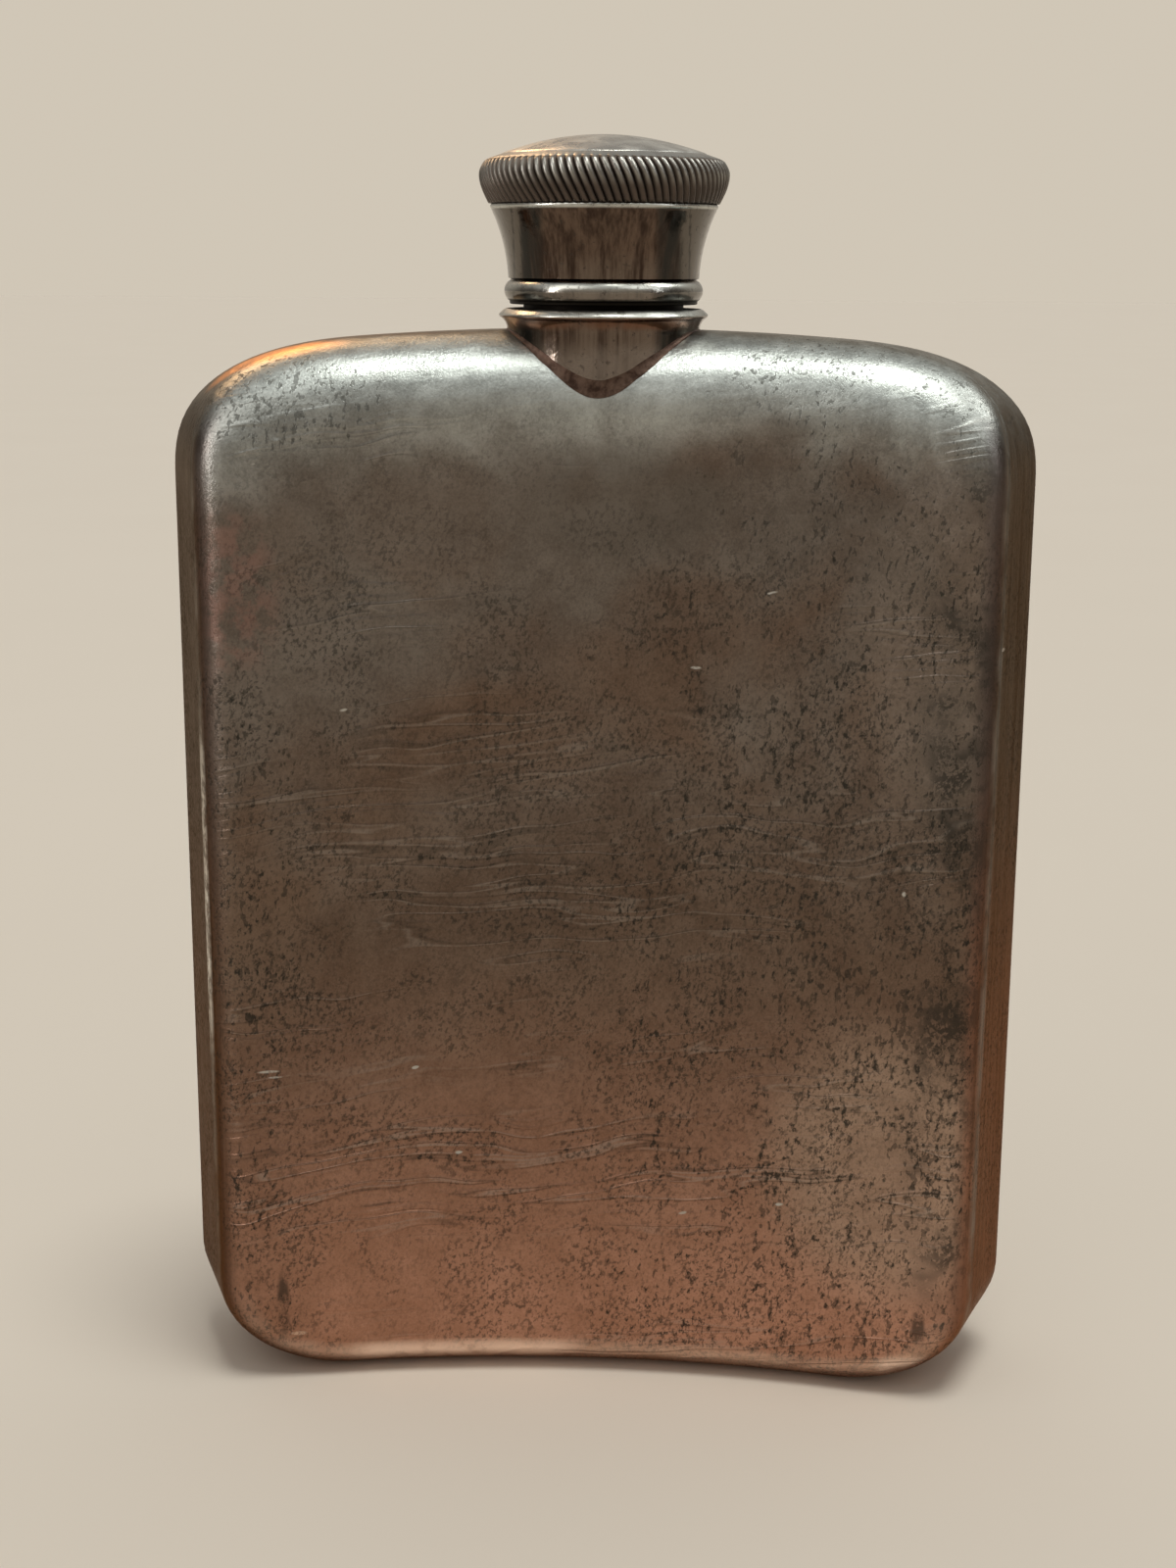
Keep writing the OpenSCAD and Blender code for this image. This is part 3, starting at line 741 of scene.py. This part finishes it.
def roll_point(side, skin, i, degrees):
    """On a rolled edge: 0 degrees where it leaves the face, 90 where it is upright."""
    r = ROLLS[side][i] - skin
    a = math.radians(degrees)
    return section(i, skin + r * (1 - math.sin(a)), side * (HALF_T - skin - r * (1 - math.cos(a))))


def wall_point(i, skin, share):
    """On the upright wall of the back shell: share 0 at its rolled edge, 1 at the seam."""
    return section(i, skin, WALL_START[i] + (SEAM_PLACE[i] - WALL_START[i]) * share)


def face_grid(side, skin):
    """Points of a face inside its rolled edge, as rows from the base up: a Coons patch of the edge."""
    b = side * (HALF_T - skin)
    rim = [flat_point(i, ROLLS[side][i], b) for i in range(COUNT)]
    low = [rim[i] for i in range(ACROSS + 1)]
    right = [rim[ACROSS + j] for j in range(UPWARD + 1)]
    high = [rim[2 * ACROSS + UPWARD - i] for i in range(ACROSS + 1)]
    left = [rim[(COUNT - j) % COUNT] for j in range(UPWARD + 1)]
    rows = []
    for j in range(UPWARD + 1):
        v = j / UPWARD
        row = []
        for i in range(ACROSS + 1):
            u = i / ACROSS
            corners = (low[0] * (1 - u) + low[-1] * u) * (1 - v) + (high[0] * (1 - u) + high[-1] * u) * v
            p = low[i] * (1 - v) + high[i] * v + left[j] * (1 - u) + right[j] * u - corners
            row.append(bend(p[0], b, p[1]))
        rows.append(row)
    return rows


def rim_cell(k):
    """Row and column of the face grid that hold rim point k."""
    if k <= ACROSS:
        return 0, k
    if k <= ACROSS + UPWARD:
        return k - ACROSS, ACROSS
    if k <= 2 * ACROSS + UPWARD:
        return UPWARD, 2 * ACROSS + UPWARD - k
    return COUNT - k, 0


SEAM_DEPTH = 0.12
OUTER_ANGLES = (8, 17, 26, 35, 44, 53, 62, 71, 79, 85, 88.4)
INNER_ANGLES = (90, 70, 50, 30, 12)
WALL_SHARES = (0.0, 0.12, 0.28, 0.44, 0.6, 0.76, 0.9, 0.97)
NECK_CLEAR, NECK_FADE = 13.0, 10.0   # no dents within the first of the axis, all of them past both
NECK_ZONE = 25.0   # the height below the body's top where that holds
CORNER_WEAR, WORN_X, WORN_Z = 0.7, 43.0, 113.0   # depth and place of the softly worn upper corners
WORN_SPAN_X, WORN_SPAN_Z = 14.0, 12.0
BROAD_WAVE, CLOSE_WAVE = 0.34, 0.07   # depths of the dents


def wave(p, size, seed):
    return noise.noise(Vector(p) / size + Vector((seed, seed * 0.37, -seed)))


def dent(p):
    """How far the skin is pushed in at p, in millimetres: worn corners, broad and close waves."""
    corner = smooth(1.25 - math.hypot((abs(p[0]) - WORN_X) / WORN_SPAN_X, (p[2] - WORN_Z) / WORN_SPAN_Z))
    broad = 0.5 + 0.5 * wave(p, 26.0, 3.1)
    close = 0.5 + 0.5 * noise.noise(Vector((p[0] / 13.0, p[1] / 13.0, p[2] / 6.0)) + Vector((7.0, 2.0, 5.0)))
    return CORNER_WEAR * corner + BROAD_WAVE * broad + CLOSE_WAVE * close


def press_dents(mesh, shares):
    """Pushes each vertex in by its share of the dents, which fade towards the base and the neck."""
    moved = []
    for v, share in zip(mesh.vertices, shares):
        p = v.co / MM
        clear = smooth((math.hypot(p[0], p[1]) - NECK_CLEAR) / NECK_FADE) if p[2] > BODY_H - NECK_ZONE else 1
        push = share * clear * smooth((p[2] - 2) / 6) * dent(p)
        moved.append(v.co - v.normal * push * MM)
    for v, co in zip(mesh.vertices, moved):
        v.co = co


def shell(name, side, node):
    """One half of the body: outer skin, seam lip, inner skin, with the neck's hole cut through."""
    points, faces, dents, wear, flank, lip = [], [], [], [], [], []

    def add(p, push=0.0, worn_and_highlight=0.0, sideways=0.0, sunk=0.0):
        points.append(p)
        dents.append(push)
        wear.append(worn_and_highlight)
        flank.append(sideways)
        lip.append(sunk)
        return len(points) - 1

    def grid(skin, push):
        ids = [[add(p, push) for p in row] for row in face_grid(side, skin)]
        for j in range(UPWARD):
            for i in range(ACROSS):
                faces.append((ids[j][i], ids[j][i + 1], ids[j + 1][i + 1], ids[j + 1][i]))
        return [ids[row][column] for row, column in map(rim_cell, range(COUNT))]

    def join(a, b):
        """Joins two rings and gives the second, for the next join."""
        faces.extend(band(a, b))
        return b

    ring = grid(0.0, 1.0)
    for degrees in OUTER_ANGLES:
        fade = 1 - smooth(degrees / 80)
        # side edges and the lower roll's band are painted bright: abrasion, and painted highlight
        edge = smooth((degrees - 72) / 14) if side < 0 else 0.0
        rubbed_and_highlight = smooth((degrees - 5) / 20) * smooth((60 - degrees) / 20)
        turned_side = smooth((degrees - 25) / 40)
        ring = join(ring, [add(roll_point(side, 0.0, i, degrees), fade,
                               max(edge * SIDE_SHARE[i], rubbed_and_highlight * BASE_SHARE[i]),
                               turned_side * SIDE_SHARE[i]) for i in range(COUNT)])
    if side > 0:
        for share in WALL_SHARES:
            edge = smooth((share - 0.9) / 0.07)
            ring = join(ring, [add(wall_point(i, 0.0, share), 0.0, SIDE_SHARE[i] * edge, SIDE_SHARE[i])
                               for i in range(COUNT)])
    sink = [SEAM_DEPTH * (0.25 + 0.75 * s) for s in SIDE_SHARE]
    ring = join(ring, [add(section(i, sink[i], SEAM_PLACE[i]), sunk=SIDE_SHARE[i]) for i in range(COUNT)])
    if side > 0:
        for share in (1.0, 0.5, 0.0):
            ring = join(ring, [add(wall_point(i, WALL, share)) for i in range(COUNT)])
    for degrees in (INNER_ANGLES if side < 0 else INNER_ANGLES[1:]):
        ring = join(ring, [add(roll_point(side, WALL, i, degrees)) for i in range(COUNT)])
    join(ring, grid(WALL, 0.0))
    piece = make(name, points, faces, {"wear": wear, "flank": flank, "lip": lip})
    press_dents(piece.data, dents)
    hole_r = NECK_R + FIT
    cut(piece, [turned("hole", [(0, NECK_HOLE_LOW), (hole_r, NECK_HOLE_LOW), (hole_r, NECK_HOLE_TOP),
                                (0, NECK_HOLE_TOP)], 128)])
    finish_piece(piece, "flask", node, "body")


# ---- Neck, collar and cap sizes, as in the CAD ----

NECK_R, BORE_R, RIM_Z, NECK_LOW = 8.75, 6.9, 133.0, 112.5
NECK_HOLE_LOW, NECK_HOLE_TOP = 107.5, 137.5   # the cutter of the shells' hole, past both their surfaces
FIT = 0.02
DRUM_R, FLANGE_R, FLANGE_Z, COLLAR_TOP, COLLAR_LOW = 10.5, 11.43, 121.0, 121.7, 112.6
COVE_R, COVE_Z = 1.5, 119.5
SLOT_R, PIN_TIP_R, PIN_R, PIN_Z, PIN_GAP = 7.4, 7.55, 1.0, 126.6, 0.15
LOCK_TURN = math.radians(60)
CAP_LOW, CAP_TOP = 122.2, 140.05
SKIRT_IN, SKIRT_FOOT_R, SKIRT_TOP, BAND_IN = 9.7, 10.25, 137.0, 11.2
BEAD_CENTRE, BEAD_R, BEAD_TOP_Z = (9.54, 123.6), 1.3, 124.95
WAIST_R, WAIST_Z, WAIST_CURVE = 10.37, 123.9, 19.5
TRIM_CENTRE, TRIM_R, TRIM_LOW_Z = (12.02, 132.48), 0.32, 132.12
RIDGES, RIDGE_DEPTH, RIDGE_TWIST = 88, 0.36, math.radians(8)
BAND_LOW_Z, BAND_HIGH_Z, BAND_TOP_Z = 132.8, 137.15, 137.9
KNURL_R, BAND_LOW_R, BAND_HIGH_R, WIDEST_V = 13.55, 12.54, 13.0, 0.7
DOME_EDGE_R, DOME_EDGE_Z, DOME_PLATE = 11.1, 137.98, 0.95
CORK_R, CORK_H, CUP_R, CUP_PLATE, CUP_LIP = 8.55, 2.45, 9.0, 0.7, 1.4
RIVET_R, RIVET_HEAD_R, RIVET_HEAD_H, SPACER_R, PLAY = 1.5, 2.6, 1.0, 3.0, 0.12
CORK_LOW = RIM_Z + 0.05
CORK_TOP = CORK_LOW + CORK_H
CUP_TOP = CORK_TOP + CUP_PLATE
SPACER_Z = CUP_TOP + PLAY
RIVET_TOP = 138.9
SADDLE_GAP = 0.06
PIN_ANGLES = (0, math.pi)


def shoulder_z(x, y):
    """Height of the body's outer surface over (x, y), near the neck."""
    s = BEND_R * math.atan2(x, y + BEND_R)
    b = math.hypot(x, y + BEND_R) - BEND_R
    over = max(0.0, abs(b) - (HALF_T - SHOULDER_ROLL))
    return (BODY_H - CROWN * (s / HALF_S) ** 2 - SHOULDER_ROLL
            + math.sqrt(max(0.0, SHOULDER_ROLL ** 2 - over ** 2)))


def collar():
    in_r, bevel = NECK_R + FIT, 0.12
    foot = [(in_r, COLLAR_LOW), (DRUM_R, COLLAR_LOW), (DRUM_R, COVE_Z - 0.3), (DRUM_R + 0.015, COVE_Z - 0.15)]
    cove = arc((DRUM_R + COVE_R + 0.05, COVE_Z), COVE_R, 180, 118, 12)
    flange = [(FLANGE_R - 0.03, FLANGE_Z - 0.07), (FLANGE_R, FLANGE_Z), (FLANGE_R, FLANGE_Z + 0.08),
              (FLANGE_R - 0.05, FLANGE_Z + 0.17)]
    top = [(FLANGE_R - 0.48, COLLAR_TOP - 0.14), (FLANGE_R - 0.6, COLLAR_TOP - 0.07),
           (FLANGE_R - 0.75, COLLAR_TOP), (in_r + bevel, COLLAR_TOP), (in_r, COLLAR_TOP - bevel)]

    def lowest(r, a):
        return shoulder_z(*polar(r, a, 0)[:2]) + SADDLE_GAP

    # painted highlight: the flange's upper face painted bright
    def worn_and_highlight(r, z):
        return smooth((z - FLANGE_Z + 0.08) / 0.12)

    piece = turned("neck_collar", foot + cove + flange + top, 224, lowest, worn_and_highlight)
    finish_piece(piece, "flask", "collar", "polished")


def solder_fillet():
    """A concave fillet swept round the line where the drum meets the shoulder."""
    segments, reach, steps, step = 224, 0.65, 6, 0.02
    line = []
    for i in range(segments):
        p = polar(DRUM_R, 2 * math.pi * i / segments, 0)
        line.append(Vector((p[0], p[1], shoulder_z(p[0], p[1]))))
    points, faces, rows = [], [], []
    for i, p in enumerate(line):
        along = (line[(i + 1) % segments] - line[i - 1]).normalized()
        out = Vector((p[0], p[1], 0)).normalized()
        slope = Vector(((shoulder_z(p[0] + step, p[1]) - shoulder_z(p[0] - step, p[1])) / (2 * step),
                        (shoulder_z(p[0], p[1] + step) - shoulder_z(p[0], p[1] - step)) / (2 * step)))
        up = Vector((-slope[0], -slope[1], 1)).normalized()
        on_drum = out.cross(along)
        on_drum *= 1 if on_drum[2] > 0 else -1
        on_body = up.cross(along)
        on_body *= 1 if on_body.dot(out) > 0 else -1
        # widest in front and behind, and uneven
        size = reach * (0.4 + 0.95 * abs(out[1]) ** 5) * (1 + 0.2 * wave(p, 2.5, 11.0))
        a, b = p + on_drum * size + out * FIT, p + on_body * size
        middle = p + (on_drum + on_body) * size * 0.12 + out * FIT
        row = []
        for k in range(steps + 1):
            t = k / steps
            row.append(a * (1 - t) ** 2 + middle * (2 * t * (1 - t)) + b * t ** 2)
        row.append(p + out * FIT - up * 0.01)
        rows.append(list(range(len(points), len(points) + len(row))))
        points += row
    for i, row in enumerate(rows):
        faces += band(row, rows[(i + 1) % segments])
    finish_piece(make("solder_fillet", points, faces), "flask", "collar_solder", "solder")


def swept_block(name, r_in, r_out, z_low, z_high, start, end, steps):
    """A block bent round the axis, from angle start to end."""
    corners = ((r_in, z_low), (r_out, z_low), (r_out, z_high), (r_in, z_high))
    angles = [start + (end - start) * k / steps for k in range(steps + 1)]
    points = [polar(r, a, z) for a in angles for r, z in corners]
    rows = [tuple(range(4 * k, 4 * k + 4)) for k in range(steps + 1)]
    faces = [face for a, b in zip(rows, rows[1:]) for face in band(a, b)]
    return make(name, points, faces + [rows[0], rows[-1][::-1]])


def neck_pipe():
    """The neck with its two L-shaped slots: an upright leg open at the rim, and a run to the locked end."""
    soft, bevel, over = 0.25, 0.1, 0.001
    profile = ([(BORE_R, NECK_LOW + bevel), (BORE_R + bevel, NECK_LOW), (NECK_R - bevel, NECK_LOW),
                (NECK_R, NECK_LOW + bevel), (NECK_R, RIM_Z - soft)]
               + arc((NECK_R - soft, RIM_Z - soft), soft, 15, 90, 5)
               + arc((BORE_R + soft, RIM_Z - soft), soft, 90, 165, 5) + [(BORE_R, RIM_Z - soft)])
    piece = turned("neck_pipe", profile, 192)
    half = PIN_R + PIN_GAP
    half_turn = math.asin(half / NECK_R)
    cutters = []
    for turn in PIN_ANGLES:
        cutters.append(swept_block("leg", SLOT_R, SLOT_R + 2, PIN_Z - half, RIM_Z + 2,
                                   turn - half_turn, turn + half_turn, 8))
        cutters.append(swept_block("run", SLOT_R - over, SLOT_R + 2.1, PIN_Z - half - over, PIN_Z + half,
                                   turn, turn + LOCK_TURN + half_turn, 40))
    cut(piece, cutters)
    finish_piece(piece, "flask", "neck_tube", "neck")


def waist_r(z):
    return WAIST_R + WAIST_CURVE - math.sqrt(WAIST_CURVE ** 2 - (z - WAIST_Z) ** 2)


def cap_sleeve():
    """The waisted skirt, with a bead at its lip and a trim ridge on top."""
    bevel, steps = 0.08, 28
    foot = [(SKIRT_IN, CAP_LOW + bevel), (SKIRT_IN + bevel, CAP_LOW), (SKIRT_FOOT_R - bevel, CAP_LOW),
            (SKIRT_FOOT_R, CAP_LOW + bevel), (SKIRT_FOOT_R, CAP_LOW + 0.3)]
    heights = [BEAD_TOP_Z + (TRIM_LOW_Z - BEAD_TOP_Z) * k / steps for k in range(steps + 1)]
    waist = [(waist_r(z), z) for z in heights]
    top = [(11.85, BAND_LOW_Z), (BAND_IN, BAND_LOW_Z), (BAND_IN, SKIRT_TOP), (SKIRT_IN, SKIRT_TOP)]
    bead, trim = arc(BEAD_CENTRE, BEAD_R, -56, 66, 22), arc(TRIM_CENTRE, TRIM_R, -55, 80, 8)

    # painted highlight: the bead's upper half and the trim painted bright, partly abrasion
    def worn_and_highlight(r, z):
        upper_half = smooth((z - BEAD_CENTRE[1] + 0.2) / 0.8)
        on_bead = smooth((r - SKIRT_FOOT_R - 0.05) / 0.3) * (0.15 + 0.85 * upper_half)
        return on_bead if z < BEAD_TOP_Z else smooth((z - TRIM_LOW_Z - 0.03) / 0.15)

    piece = turned("cap_sleeve", foot + bead + waist + trim + top, 224, None, worn_and_highlight)
    finish_piece(piece, "cap", "cap_skirt", "polished")


def pin(name, radius, r_low, r_high, turn, chamfer=0.0):
    """A round pin along the radius at angle turn, at the height of the bayonet."""
    half = [(0, r_low), (radius - chamfer, r_low), (radius, r_low + chamfer), (radius, r_high), (0, r_high)]
    made = turned(name, half, 40)
    lay = Matrix.Rotation(turn, 4, "Z") @ Matrix.Rotation(math.pi / 2, 4, "Y")
    made.data.transform(Matrix.Translation((0, 0, PIN_Z * MM)) @ lay)
    return made


def cap_liner():
    """The sleeve that runs on the neck, drilled for the pins from inside its bore to past its outside."""
    low, high, in_r, out_r, bevel = CAP_LOW + 0.25, RIM_Z - 0.1, NECK_R + 0.1, SKIRT_IN - FIT, 0.1
    profile = [(in_r + bevel, low), (out_r, low), (out_r, high), (in_r + bevel, high), (in_r, high - bevel),
               (in_r, low + bevel)]
    piece = turned("cap_liner", profile, 192)
    cut(piece, [pin("drill", PIN_R, in_r - 0.85, out_r + 1.32, turn) for turn in PIN_ANGLES])
    finish_piece(piece, "cap", "cap_bush", "neck")


def bayonet_studs():
    work = bmesh.new()
    for turn in PIN_ANGLES:
        made = pin("stud", PIN_R, PIN_TIP_R, SKIRT_IN - FIT, turn, 0.15)
        work.from_mesh(made.data)
        bpy.data.objects.remove(made)
    mesh = bpy.data.meshes.new("bayonet_studs")
    work.to_mesh(mesh)
    work.free()
    finish_piece(link_mesh("bayonet_studs", mesh), "cap", "bayonet_pins", "pin_steel")


def band_r(v):
    """Radius of the knurled band over its ridges, at share v of its height."""
    if v < WIDEST_V:
        return BAND_LOW_R + (KNURL_R - BAND_LOW_R) * math.sin(math.pi / 2 * v / WIDEST_V)
    return KNURL_R - (KNURL_R - BAND_HIGH_R) * (1 - math.cos(math.pi / 2 * (v - WIDEST_V) / (1 - WIDEST_V)))


def knurled_ring():
    """The band of slanting ridges, as rows of (radius, height, share of the slant, share of the ridges):
    up the outside, over the top corner to the bore, and back under the foot."""
    per_ridge, steps, bore = 8, 16, BAND_IN + FIT
    around = RIDGES * per_ridge
    rows = [(band_r(k / steps), BAND_LOW_Z + (BAND_HIGH_Z - BAND_LOW_Z) * k / steps, k / steps, 1.0)
            for k in range(steps + 1)]
    rows += [(12.8, 137.3, 1.02, 0.75), (12.5, 137.45, 1.04, 0.35), (12.1, 137.6, 1.05, 0.0),
             (bore, BAND_TOP_Z, 1.05, 0.0), (bore, BAND_LOW_Z, 0.0, 0.0), (12.2, BAND_LOW_Z, 0.0, 0.0)]
    points, faces, crest = [], [], []
    for r, z, slant, share in rows:
        for i in range(around):
            phase = (i % per_ridge) / per_ridge
            height = math.sin(math.pi * phase) ** 0.7 if phase else 0.0
            a = 2 * math.pi * i / around - RIDGE_TWIST * slant
            points.append(polar(r - RIDGE_DEPTH * (1 - height) * share, a, z))
            crest.append(1.0 if z > BAND_HIGH_Z + 0.25 else height * share)
    rings = [range(k * around, (k + 1) * around) for k in range(len(rows))]
    for k, ring in enumerate(rings):
        faces += band(ring, rings[(k + 1) % len(rings)])
    piece = make("knurled_ring", points, faces, {"crest": crest})
    finish_piece(piece, "cap", "knurled_band", "knurl")
    piece.data.set_sharp_from_angle(angle=math.radians(60))


def cap_crown():
    """The low dome, hollow below, with faint waves in its top."""
    rise, in_r, wave_low = CAP_TOP - DOME_EDGE_Z, SKIRT_IN + 1, DOME_EDGE_Z + 0.2
    dome_r = (DOME_EDGE_R ** 2 + rise ** 2) / (2 * rise)
    centre, under_r = (0, CAP_TOP - dome_r), dome_r - DOME_PLATE
    outer_turn = math.degrees(math.asin((DOME_EDGE_R - 0.12) / dome_r))
    inner_turn = math.degrees(math.asin(in_r / under_r))
    outside = arc(centre, dome_r, 90 - outer_turn, 90, 40)
    inside = arc(centre, under_r, 90, 90 - inner_turn, 24)
    rim = [(in_r, SKIRT_TOP), (DOME_EDGE_R, SKIRT_TOP), (DOME_EDGE_R, DOME_EDGE_Z - 0.1)]
    profile = [(0, inside[0][1])] + inside[1:] + rim + outside[:-1] + [(0, CAP_TOP)]
    piece = turned("cap_crown", profile, 160)
    for v in piece.data.vertices:
        p = v.co / MM
        if p[2] > wave_low:
            v.co.z -= MM * 0.05 * (0.5 + 0.5 * wave(p, 5.0, 21.0)) * smooth((p[2] - wave_low) / 0.6)
    finish_piece(piece, "cap", "cap_dome", "dome")


def swivel():
    """The headed rivet and its spacer, in one profile."""
    low, soft = CORK_TOP - PLAY - RIVET_HEAD_H, 0.5
    head = ([(0, low), (RIVET_HEAD_R - soft, low)]
            + arc((RIVET_HEAD_R - soft, low + soft), soft, -80, 0, 6) + [(RIVET_HEAD_R, low + RIVET_HEAD_H)])
    stem = [(RIVET_R, low + RIVET_HEAD_H), (RIVET_R, SPACER_Z), (SPACER_R, SPACER_Z), (SPACER_R, RIVET_TOP),
            (0, RIVET_TOP)]
    finish_piece(turned("swivel", head + stem, 64), "cap", "swivel_rivet", "pin_steel")


def seal_tray():
    hole, low, bevel, soft = RIVET_R + 0.06, CORK_TOP - CUP_LIP, 0.08, 0.4
    profile = ([(hole, CORK_TOP), (CORK_R, CORK_TOP), (CORK_R, low + bevel), (CORK_R + bevel, low),
                (CUP_R - bevel, low), (CUP_R, low + bevel)]
               + arc((CUP_R - soft, CUP_TOP - soft), soft, 0, 90, 6) + [(hole, CUP_TOP)])
    finish_piece(turned("seal_tray", profile, 128), "seal", "seal_cup", "neck")


def cork_disc():
    """The cork, with a pocket on top for the rivet's head."""
    soft, pocket_r, pocket_low = 0.3, RIVET_HEAD_R + 0.3, CORK_TOP - RIVET_HEAD_H - 2 * PLAY
    profile = ([(0, CORK_LOW), (4, CORK_LOW), (CORK_R - soft, CORK_LOW)]
               + arc((CORK_R - soft, CORK_LOW + soft), soft, -75, 0, 5)
               + [(CORK_R, CORK_TOP), (pocket_r, CORK_TOP), (pocket_r, pocket_low), (0, pocket_low)])
    finish_piece(turned("cork_disc", profile, 96), "seal", "cork_washer", "cork")


shell("front_panel", -1, "front_shell")
shell("back_panel", 1, "back_shell")
collar()
solder_fillet()
neck_pipe()
cap_sleeve()
cap_liner()
bayonet_studs()
knurled_ring()
cap_crown()
swivel()
seal_tray()
cork_disc()

# ---- Floor and light ----


def add_floor():
    """A pale floor, as a plain grid of cells."""
    half, cells = 6.0, 12
    across = cells + 1
    places = [half * (2 * i / cells - 1) for i in range(across)]
    points = [(x, y, 0) for y in places for x in places]
    faces = [(k, k + 1, k + across + 1, k + across)
             for k in (row * across + i for row in range(cells) for i in range(cells))]
    mesh = bpy.data.meshes.new("floor")
    mesh.from_pydata(points, [], faces)
    s = Shader("floor_paint", Roughness=0.8, Specular_IOR_Level=0.15)
    s.colour = s.mix(s.noise(0.01, 3.0), (0.765, 0.68, 0.59), (0.785, 0.70, 0.61))
    mesh.materials.append(s.finished(None))
    link_mesh("floor", mesh)


def aim(light, place, target):
    light.location = place
    light.rotation_euler = (Vector(target) - Vector(place)).to_track_quat("-Z", "Y").to_euler()
    bpy.context.scene.collection.objects.link(light)


def add_strip(name, place, target, size, power, colour):
    """An oblong light that shows in the metal only, as it lights no matt surface."""
    data = bpy.data.lights.new(name, "AREA")
    data.shape = "RECTANGLE"
    data.size, data.size_y = size
    data.energy = power
    data.color = colour
    strip = bpy.data.objects.new(name, data)
    strip.visible_diffuse = False
    aim(strip, place, target)


def add_softbox(place, angle, strength, colour):
    """A wide, even light from far away in the direction of place."""
    data = bpy.data.lights.new("softbox", "SUN")
    data.angle = math.radians(angle)
    data.energy = strength
    data.color = colour
    aim(bpy.data.objects.new("softbox", data), place, (0, 0, 0))


def add_world():
    """A pale backdrop for the camera, and a room for the light that falls on the object:
    dim at its sides, brighter in front, behind and overhead."""
    world = bpy.data.worlds.new("room")
    world.use_nodes = True
    world.node_tree.nodes.clear()
    w = Nodes(world.node_tree)
    direction = w.node("ShaderNodeTexCoord").outputs["Generated"]
    depth, height = w.part(1, direction), w.part(2, direction)
    room = w.mix(w.fit(depth, -0.35, -0.75), (0.15, 0.13, 0.11), (0.42, 0.375, 0.32))
    room = w.mix(w.fit(depth, 0.25, 0.6), room, (0.42, 0.385, 0.335))
    up = w.fit(height, 0.2, 0.95)
    felt = w.node("ShaderNodeBackground", {0: w.mix(up, room, (0.52, 0.53, 0.52))})
    seen = w.node("ShaderNodeBackground", {0: (0.633, 0.569, 0.472, 1)})
    camera_ray = w.node("ShaderNodeLightPath").outputs["Is Camera Ray"]
    both = w.node("ShaderNodeMixShader", {0: camera_ray, 1: felt.outputs[0], 2: seen.outputs[0]})
    w.node("ShaderNodeOutputWorld", {0: both.outputs[0]})
    bpy.context.scene.world = world


add_floor()
add_world()
add_softbox((0.12, -0.15, 1.0), 20, 1.25, (0.98, 1, 0.95))
add_strip("warm_strip", (-0.4, 0.56, 0.73), (-0.03, 0, 0.11), (0.5, 0.16), 2.6, (1, 0.62, 0.33))
add_strip("side_strip", (-0.75, -0.45, 0.35), (0, 0, 0.09), (0.08, 0.6), 2.4, (1, 0.97, 0.94))
add_strip("side_strip_far", (0.8, -0.3, 0.4), (0, 0, 0.09), (0.08, 0.6), 0.7, (0.94, 0.97, 1))
add_strip("corner_strip", (0.58, 0.12, 0.8), (0.03, 0, 0.11), (0.3, 0.3), 2.5, (0.97, 1, 0.97))
add_strip("panel_left", (-0.48, -0.45, 0.75), (-0.03, 0, 0.11), (0.55, 0.4), 1.3, (1, 0.98, 0.93))
add_strip("panel_right", (0.5, -0.4, 0.75), (0.03, 0, 0.11), (0.4, 0.4), 0.8, (0.97, 1, 0.97))

bpy.context.scene.view_settings.view_transform = "Standard"
